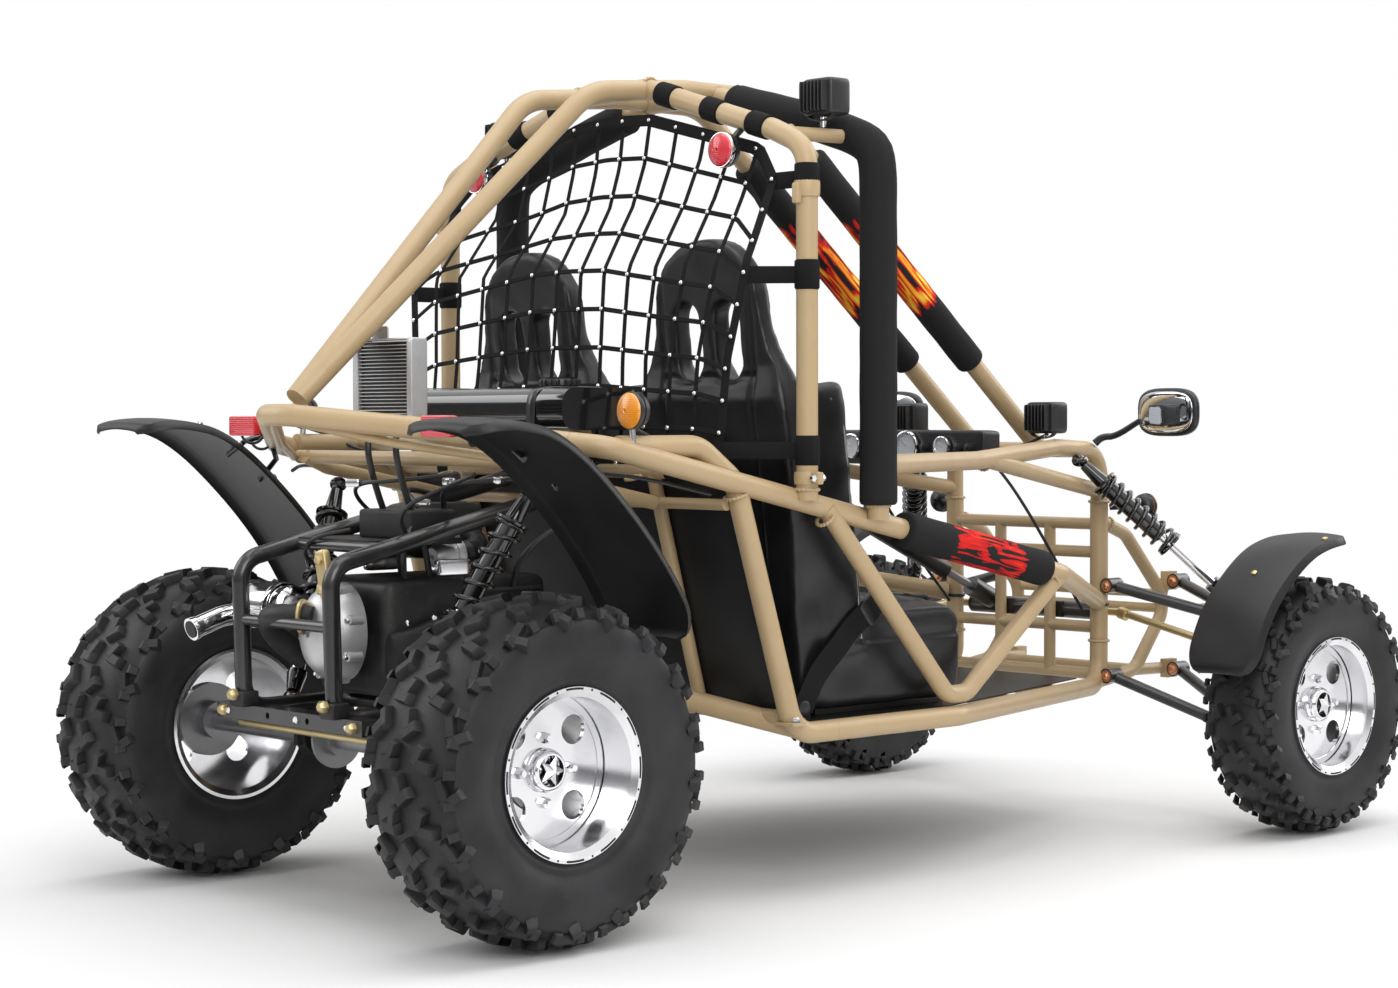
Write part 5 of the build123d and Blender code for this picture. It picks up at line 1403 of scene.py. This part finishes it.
lean = rotation("X", pedals["lean"])
pedalDark, pedalBright = [blockShape(pedalPlace(-0.168, 1.606, 0.0055), (0.15, 0.04, 0.007), 0.12)], []
for x, wide in pedals["pads"]:    # an arm, a pad with ridges and a return spring
    heights = ((1.606, 0.006), (1.612, 0.05), (1.585, 0.10), (1.572, 0.14))
    arm = [(x, y, pedals["floor"] + height) for y, height in heights]
    pedalDark.append(hoseShape(arm, 20, 0.006, 12))
    pedalDark.append(blockShape(pedalPlace(x, 1.568, 0.14), (wide, 0.009, 0.056), 0.2, lean))
    for level in pedals["ridges"]:
        ridge = pedalPlace(x, 1.5625 - level * 0.27, 0.14 + level)
        pedalDark.append(blockShape(ridge, (wide * 0.9, 0.005, 0.005), 0.4, lean, 14, 6))
    low, high = pedalPlace(x + 0.016, 1.604, 0.012), pedalPlace(x + 0.016, 1.600, 0.06)
    pedalBright.append(coilShape(low, high, 6, 0.006, 0.0011))
rod = np.stack([pedalPlace(-0.205, 1.60, 0.05), pedalPlace(-0.205, 1.66, 0.052)])
pedalBright.append(tubeShape(rod, 0.0045, 12))
cylinder = [(0, onAxis), (0, 0.016), (0.05, 0.016), (0.055, 0.011), (0.055, onAxis)]
pedalDark.append(turnedShape(cylinder, pedalPlace(-0.205, 1.652, 0.052), ahead, 24))
pedalDark.append(blockShape(pedalPlace(-0.205, 1.668, 0.084), (0.034, 0.044, 0.036), 0.3))
pedalDark.append(blockShape(pedalPlace(-0.205, 1.668, 0.024), (0.03, 0.03, 0.04), 0.3))
addPiece("pedalPads", joined(pedalDark), "shellPlastic", "chassis", 40, replaces=["pedals"])
addPiece("pedalBright", joined(pedalBright), "zinc", "chassis", 50)

steering = dict(hub=(-0.226, 1.090, 0.800), pinion=(-0.115, 1.790, 0.440), radius=0.118, grip=0.013,
                spokes=(30, 150, 270), stitches=60, stitchRing=0.1055)
wheelHub = at(steering["hub"])
columnWay = at(steering["pinion"]) - wheelHub
columnWay = columnWay / np.linalg.norm(columnWay)
flatX = np.array([1.0, 0, 0]) - columnWay * columnWay[0]
flatX /= np.linalg.norm(flatX)
flatY = np.cross(flatX, columnWay)
round16 = np.linspace(0, 2 * np.pi, 16, endpoint=False)
wheelRing = np.stack([steering["grip"] * np.cos(round16),
                      steering["radius"] + steering["grip"] * np.sin(round16)], 1)
hubCap = roundedOff([(-0.014, onAxis), (-0.014, 0.030), (-0.006, 0.036), (0.012, 0.034), (0.012, onAxis)], 2)
wheelBits = [latheShape(wheelRing, wheelHub, columnWay, 72), latheShape(hubCap, wheelHub, columnWay, 40)]
stitch = 2 * np.pi * np.arange(steering["stitches"]) / steering["stitches"]
outwards = np.cos(stitch)[:, None] * flatX + np.sin(stitch)[:, None] * flatY
inner = wheelHub + steering["stitchRing"] * outwards
spokeBits = []
dish = columnWay * (0.006 * np.cos(np.linspace(0, np.pi, 8)))[:, None]
for turn in steering["spokes"]:
    way = math.cos(math.radians(turn)) * flatX + math.sin(math.radians(turn)) * flatY
    path = wheelHub + way * np.linspace(0.012, 0.112, 8)[:, None] + dish
    spokeBits.append(ribbonShape(path, 0.026, 0.004, np.cross(columnWay, way)))
stitches = studsShape(inner, wheelHub - inner, 0.0016, 0.0012, 6)
addPiece("steeringRing", joined(wheelBits), "vinyl", "steering_wheel", 50,
         replaces=["steering_wheel"])
addPiece("steeringSpokes", joined(spokeBits), "greySteel", "steering_wheel", 40)
addPiece("steeringStitches", stitches, "greyTrim", "steering_wheel", 50)

print("frame details")
clamps, clampBolts, copper = [], [], []


def collarShape(place, axis, radius, height):
    # a band 5 mm thick that is sunk 1 mm into the tube's surface
    return turnedShape(bandProfile(-height / 2, height / 2, radius - 0.001, radius + 0.004), place, axis, 32)


for _, side in sides:
    post = onSide((0.512, 0.582, 0.742), side)
    clamps.append(collarShape(post, upward, 0.0192, 0.022))
    clamps.append(blockShape(post + [side * 0.028, -0.004, 0], (0.022, 0.014, 0.022), 0.3))
    clamps.append(collarShape(onSide((0.512, 0.582, 1.245), side), upward, 0.0192, 0.03))
    clamps.append(blockShape(onSide((0.512, 0.557, 1.235), side), (0.014, 0.012, 0.036), 0.3))
    clamps.append(blockShape(onSide((0.505, 0.548, 0.316), side), (0.05, 0.034, 0.006), 0.25))
    postBolts = [post + [side * 0.03, -0.012, 0], post + [side * 0.022, 0.014, 0.0]]
    clampBolts.append(studsShape(postBolts, [behind, ahead], 0.0065, 0.008))
    clampBolts.append(studsShape([onSide((0.518, 0.548, 0.320), side)], upward, 0.008, 0.008))
    for z in (0.300, 0.491):    # the wishbones' pivots, a bolt and a washer at each end
        for y, way in ((1.7385, -1), (1.7755, 1), (1.9665, -1), (2.0035, 1)):
            pivot = onSide((0.2406, y, z), side)
            copper.append(studsShape([pivot], (0, way, 0), 0.0095, 0.008))
            copper.append(latheShape(bandProfile(-0.001, 0.002, onAxis, 0.013), pivot, (0, way, 0), 20))
    copper.append(studsShape([onSide((0.158, -0.030, 0.352), side)], (side, 0, 0), 0.01, 0.02))
    noseBolts = onSide([(0.448, 1.9, 0.466), (0.2345, 1.671, 0.7565)], side)
    copper.append(studsShape(noseBolts, ahead, 0.0085, 0.008))
joints = [  # place, axis and tube radius where two tubes are welded
    ((0.512, 0.582, 0.722), (0, 0, 1), 0.0192), ((0.522, 0.750, 0.690), (0, 0, 1), 0.0192),
    ((0.482, 0.440, 0.713), (0.04, 0.29, -0.95), 0.0192), ((0.494, 0.645, 0.670), (0, 0.7, -0.71), 0.0172),
    ((0.4885, 1.262, 0.535), (0, 0.82, 0.57), 0.0172), ((0.205, 1.757, 0.372), (0, 0, 1), 0.0192),
    ((0.205, 1.757, 0.668), (0, 0, 1), 0.0192), ((0.205, 1.785, 0.618), (0, 1, -0.36), 0.0142),
    ((0.272, 0.390, 0.742), (0, 0.27, -1), 0.0127), ((0.315, 1.266, 0.760), (-0.25, 1, -0.15), 0.0162),
    ((0.0975, 0.582, 1.4545), (1, 0, -0.3), 0.0192), ((0.1, 0.75, 1.4525), (1, 0, -0.3), 0.0192),
    ((0.448, 0.604, 1.346), (0.1, 1, 0), 0.0127), ((0.46, 0.728, 1.348), (0.1, 1, 0), 0.0127),
]


def beadShape(place, axis, radius):
    # a weld: a thin ring round the tube that swells eighteen times
    spin = np.linspace(0, 2 * np.pi, 72, endpoint=False)
    first = np.cross(axis, (0.3, 0.2, 1) if abs(axis[2]) < 0.9 else (1, 0, 0))
    first = first / np.linalg.norm(first)
    second = np.cross(axis / np.linalg.norm(axis), first)
    ring = np.cos(spin)[:, None] * first + np.sin(spin)[:, None] * second
    return tubeShape(place + (radius + 0.0006) * ring, 0.0030 + 0.0007 * np.sin(spin * 18), 8, closed=True)


beads = []
for place, axis, radius in joints:
    for _, side in sides:
        beads.append(beadShape(onSide(place, side), np.array(axis) * [side, 1, 1], radius))
addPiece("weldBeads", joined(beads), "tanPaint", "chassis", 70)
addPiece("frameTabs", joined(clamps), "tanPaint", "chassis", 40)
addPiece("frameBolts", joined(clampBolts), "chrome", "chassis", 40)
addPiece("copperBolts", joined(copper), "copper", "chassis", 40)
tieSpots = [    # place, the tube's axis and its radius
    ((0.33, -0.006, 0.822), (1, 0.69, -0.1), 0.0195), ((0.42, 0.072, 0.81), (1, 0.69, -0.1), 0.0195),
    ((0.46, 0.325, 0.799), (1, 0, 0), 0.0127), ((0.205, 1.757, 0.45), (0, 0, 1), 0.0195),
    ((0.494, 0.95, 0.62), (0, 1, -0.22), 0.0195),
]
ties = []
for place, axis, radius in tieSpots:
    for _, side in sides:
        ties.append(collarShape(onSide(place, side), np.array(axis) * [side, 1, 1], radius - 0.0012, 0.007))
addPiece("cableTies", joined(ties), "shellPlastic", "chassis", 40)
harness = [
    [(0.30, 0.06, 0.752), (0.36, 0.12, 0.762), (0.44, 0.24, 0.752), (0.462, 0.40, 0.716)],
    [(0.482, 0.206, 0.832), (0.468, 0.26, 0.815), (0.45, 0.30, 0.79), (0.40, 0.325, 0.78)],
    [(0.196, 1.60, 0.812), (0.18, 1.55, 0.79), (0.16, 1.47, 0.775), (0.15, 1.44, 0.785)],
    [(0.18, 1.44, 0.76), (0.20, 1.50, 0.69), (0.20, 1.62, 0.55), (0.188, 1.72, 0.44)],
]
wires = []
for route in harness:
    for _, side in sides:
        wires.append(hoseShape(route, 40, 0.0034, 8, side))
addPiece("frameHarness", joined(wires), "shellPlastic", "chassis", 60)
tank = dict(cap=(0.150, 0.325), capZ=0.901, grips=16, gripRing=0.034, straps=(-0.18, 0.18))
capOutline = [(0, onAxis), (0, 0.034), (0.014, 0.034), (0.018, 0.028), (0.018, onAxis)]
capBits = [turnedShape(capOutline, at((*tank["cap"], tank["capZ"])), upward, 40)]
for turn in 2 * np.pi * np.arange(tank["grips"]) / tank["grips"]:
    grip = at((tank["cap"][0] + tank["gripRing"] * math.cos(turn),
               tank["cap"][1] + tank["gripRing"] * math.sin(turn), tank["capZ"] + 0.008))
    capBits.append(blockShape(grip, (0.006, 0.006, 0.014), 0.5, None, 8, 6))
addPiece("tankCap", joined(capBits), "shellPlastic", "chassis", 40)
strap = []
for x in tank["straps"]:
    bend = np.array([(x, 0.418, 0.838), (x, 0.4165, 0.885), (x, 0.402, 0.9015), (x, 0.325, 0.9025),
                     (x, 0.248, 0.9015), (x, 0.2335, 0.885), (x, 0.232, 0.838)])
    strap.append(ribbonShape(at(smoothLine(bend, 40)[0]), 0.024, 0.0016, (1, 0, 0)))
addPiece("tankStraps", joined(strap), "blackPaint", "chassis", 40)

print("floor and world")
world = bpy.data.worlds.new("studio")
bpy.context.scene.world = world
world.use_nodes = True
tree = world.node_tree
tree.nodes.clear()
path = addNode(tree, "ShaderNodeLightPath")
strength = addNode(tree, "ShaderNodeMapRange", [(0, path.outputs["Is Camera Ray"])])
strength.inputs[3].default_value, strength.inputs[4].default_value = 0.62, 1.0
direction = addNode(tree, "ShaderNodeTexCoord")
height = addNode(tree, "ShaderNodeSeparateXYZ", [(0, direction.outputs["Generated"])])
sky = addNode(tree, "ShaderNodeMapRange", [(0, height.outputs["Z"])], interpolation_type="SMOOTHSTEP")
for socket, value in enumerate((-0.05, 0.55, 0.12, 1.0), 1):    # from and to heights, then dark and light
    sky.inputs[socket].default_value = value
seen = [(0, path.outputs["Is Glossy Ray"]), (2, strength.outputs[0]), (3, sky.outputs[0])]
shown = addNode(tree, "ShaderNodeMix", seen)
back = addNode(tree, "ShaderNodeBackground", [("Strength", shown.outputs[0])], Color=(1, 1, 1, 1))
addNode(tree, "ShaderNodeOutputWorld", [("Surface", back.outputs[0])])

floorMaterial, floorTree, floorShader = newMaterial("floor", 0.0, 0.75)
floorShader.inputs["Base Color"].default_value = (0.86, 0.86, 0.86, 1)
floorShader.inputs["Specular IOR Level"].default_value = 0.1
spot = addNode(floorTree, "ShaderNodeTexCoord")
away = addNode(floorTree, "ShaderNodeVectorMath", [(0, spot.outputs["Object"])], operation="LENGTH")
fade = rangeNode(floorTree, away.outputs["Value"], 1.2, 3.4, True)
seenRay = addNode(floorTree, "ShaderNodeLightPath")
whiteShare = mathNode(floorTree, "MULTIPLY", fade, seenRay.outputs["Is Camera Ray"])
white = addNode(floorTree, "ShaderNodeEmission", Color=(1, 1, 1, 1), Strength=1.0)
mixing = [(0, whiteShare), (1, floorShader.outputs[0]), (2, white.outputs[0])]
blend = addNode(floorTree, "ShaderNodeMixShader", mixing)
floorTree.links.new(blend.outputs[0], floorTree.nodes["Material Output"].inputs["Surface"])
floorData = bpy.data.meshes.new("floor")
floorData.from_pydata([(-60, -60, 0), (60, -60, 0), (60, 60, 0), (-60, 60, 0)], [], [(0, 1, 2, 3)])
floorPiece = bpy.data.objects.new("floor", floorData)
bpy.context.collection.objects.link(floorPiece)
floorData.materials.append(floorMaterial)

bpy.context.scene.view_settings.view_transform = "Standard"
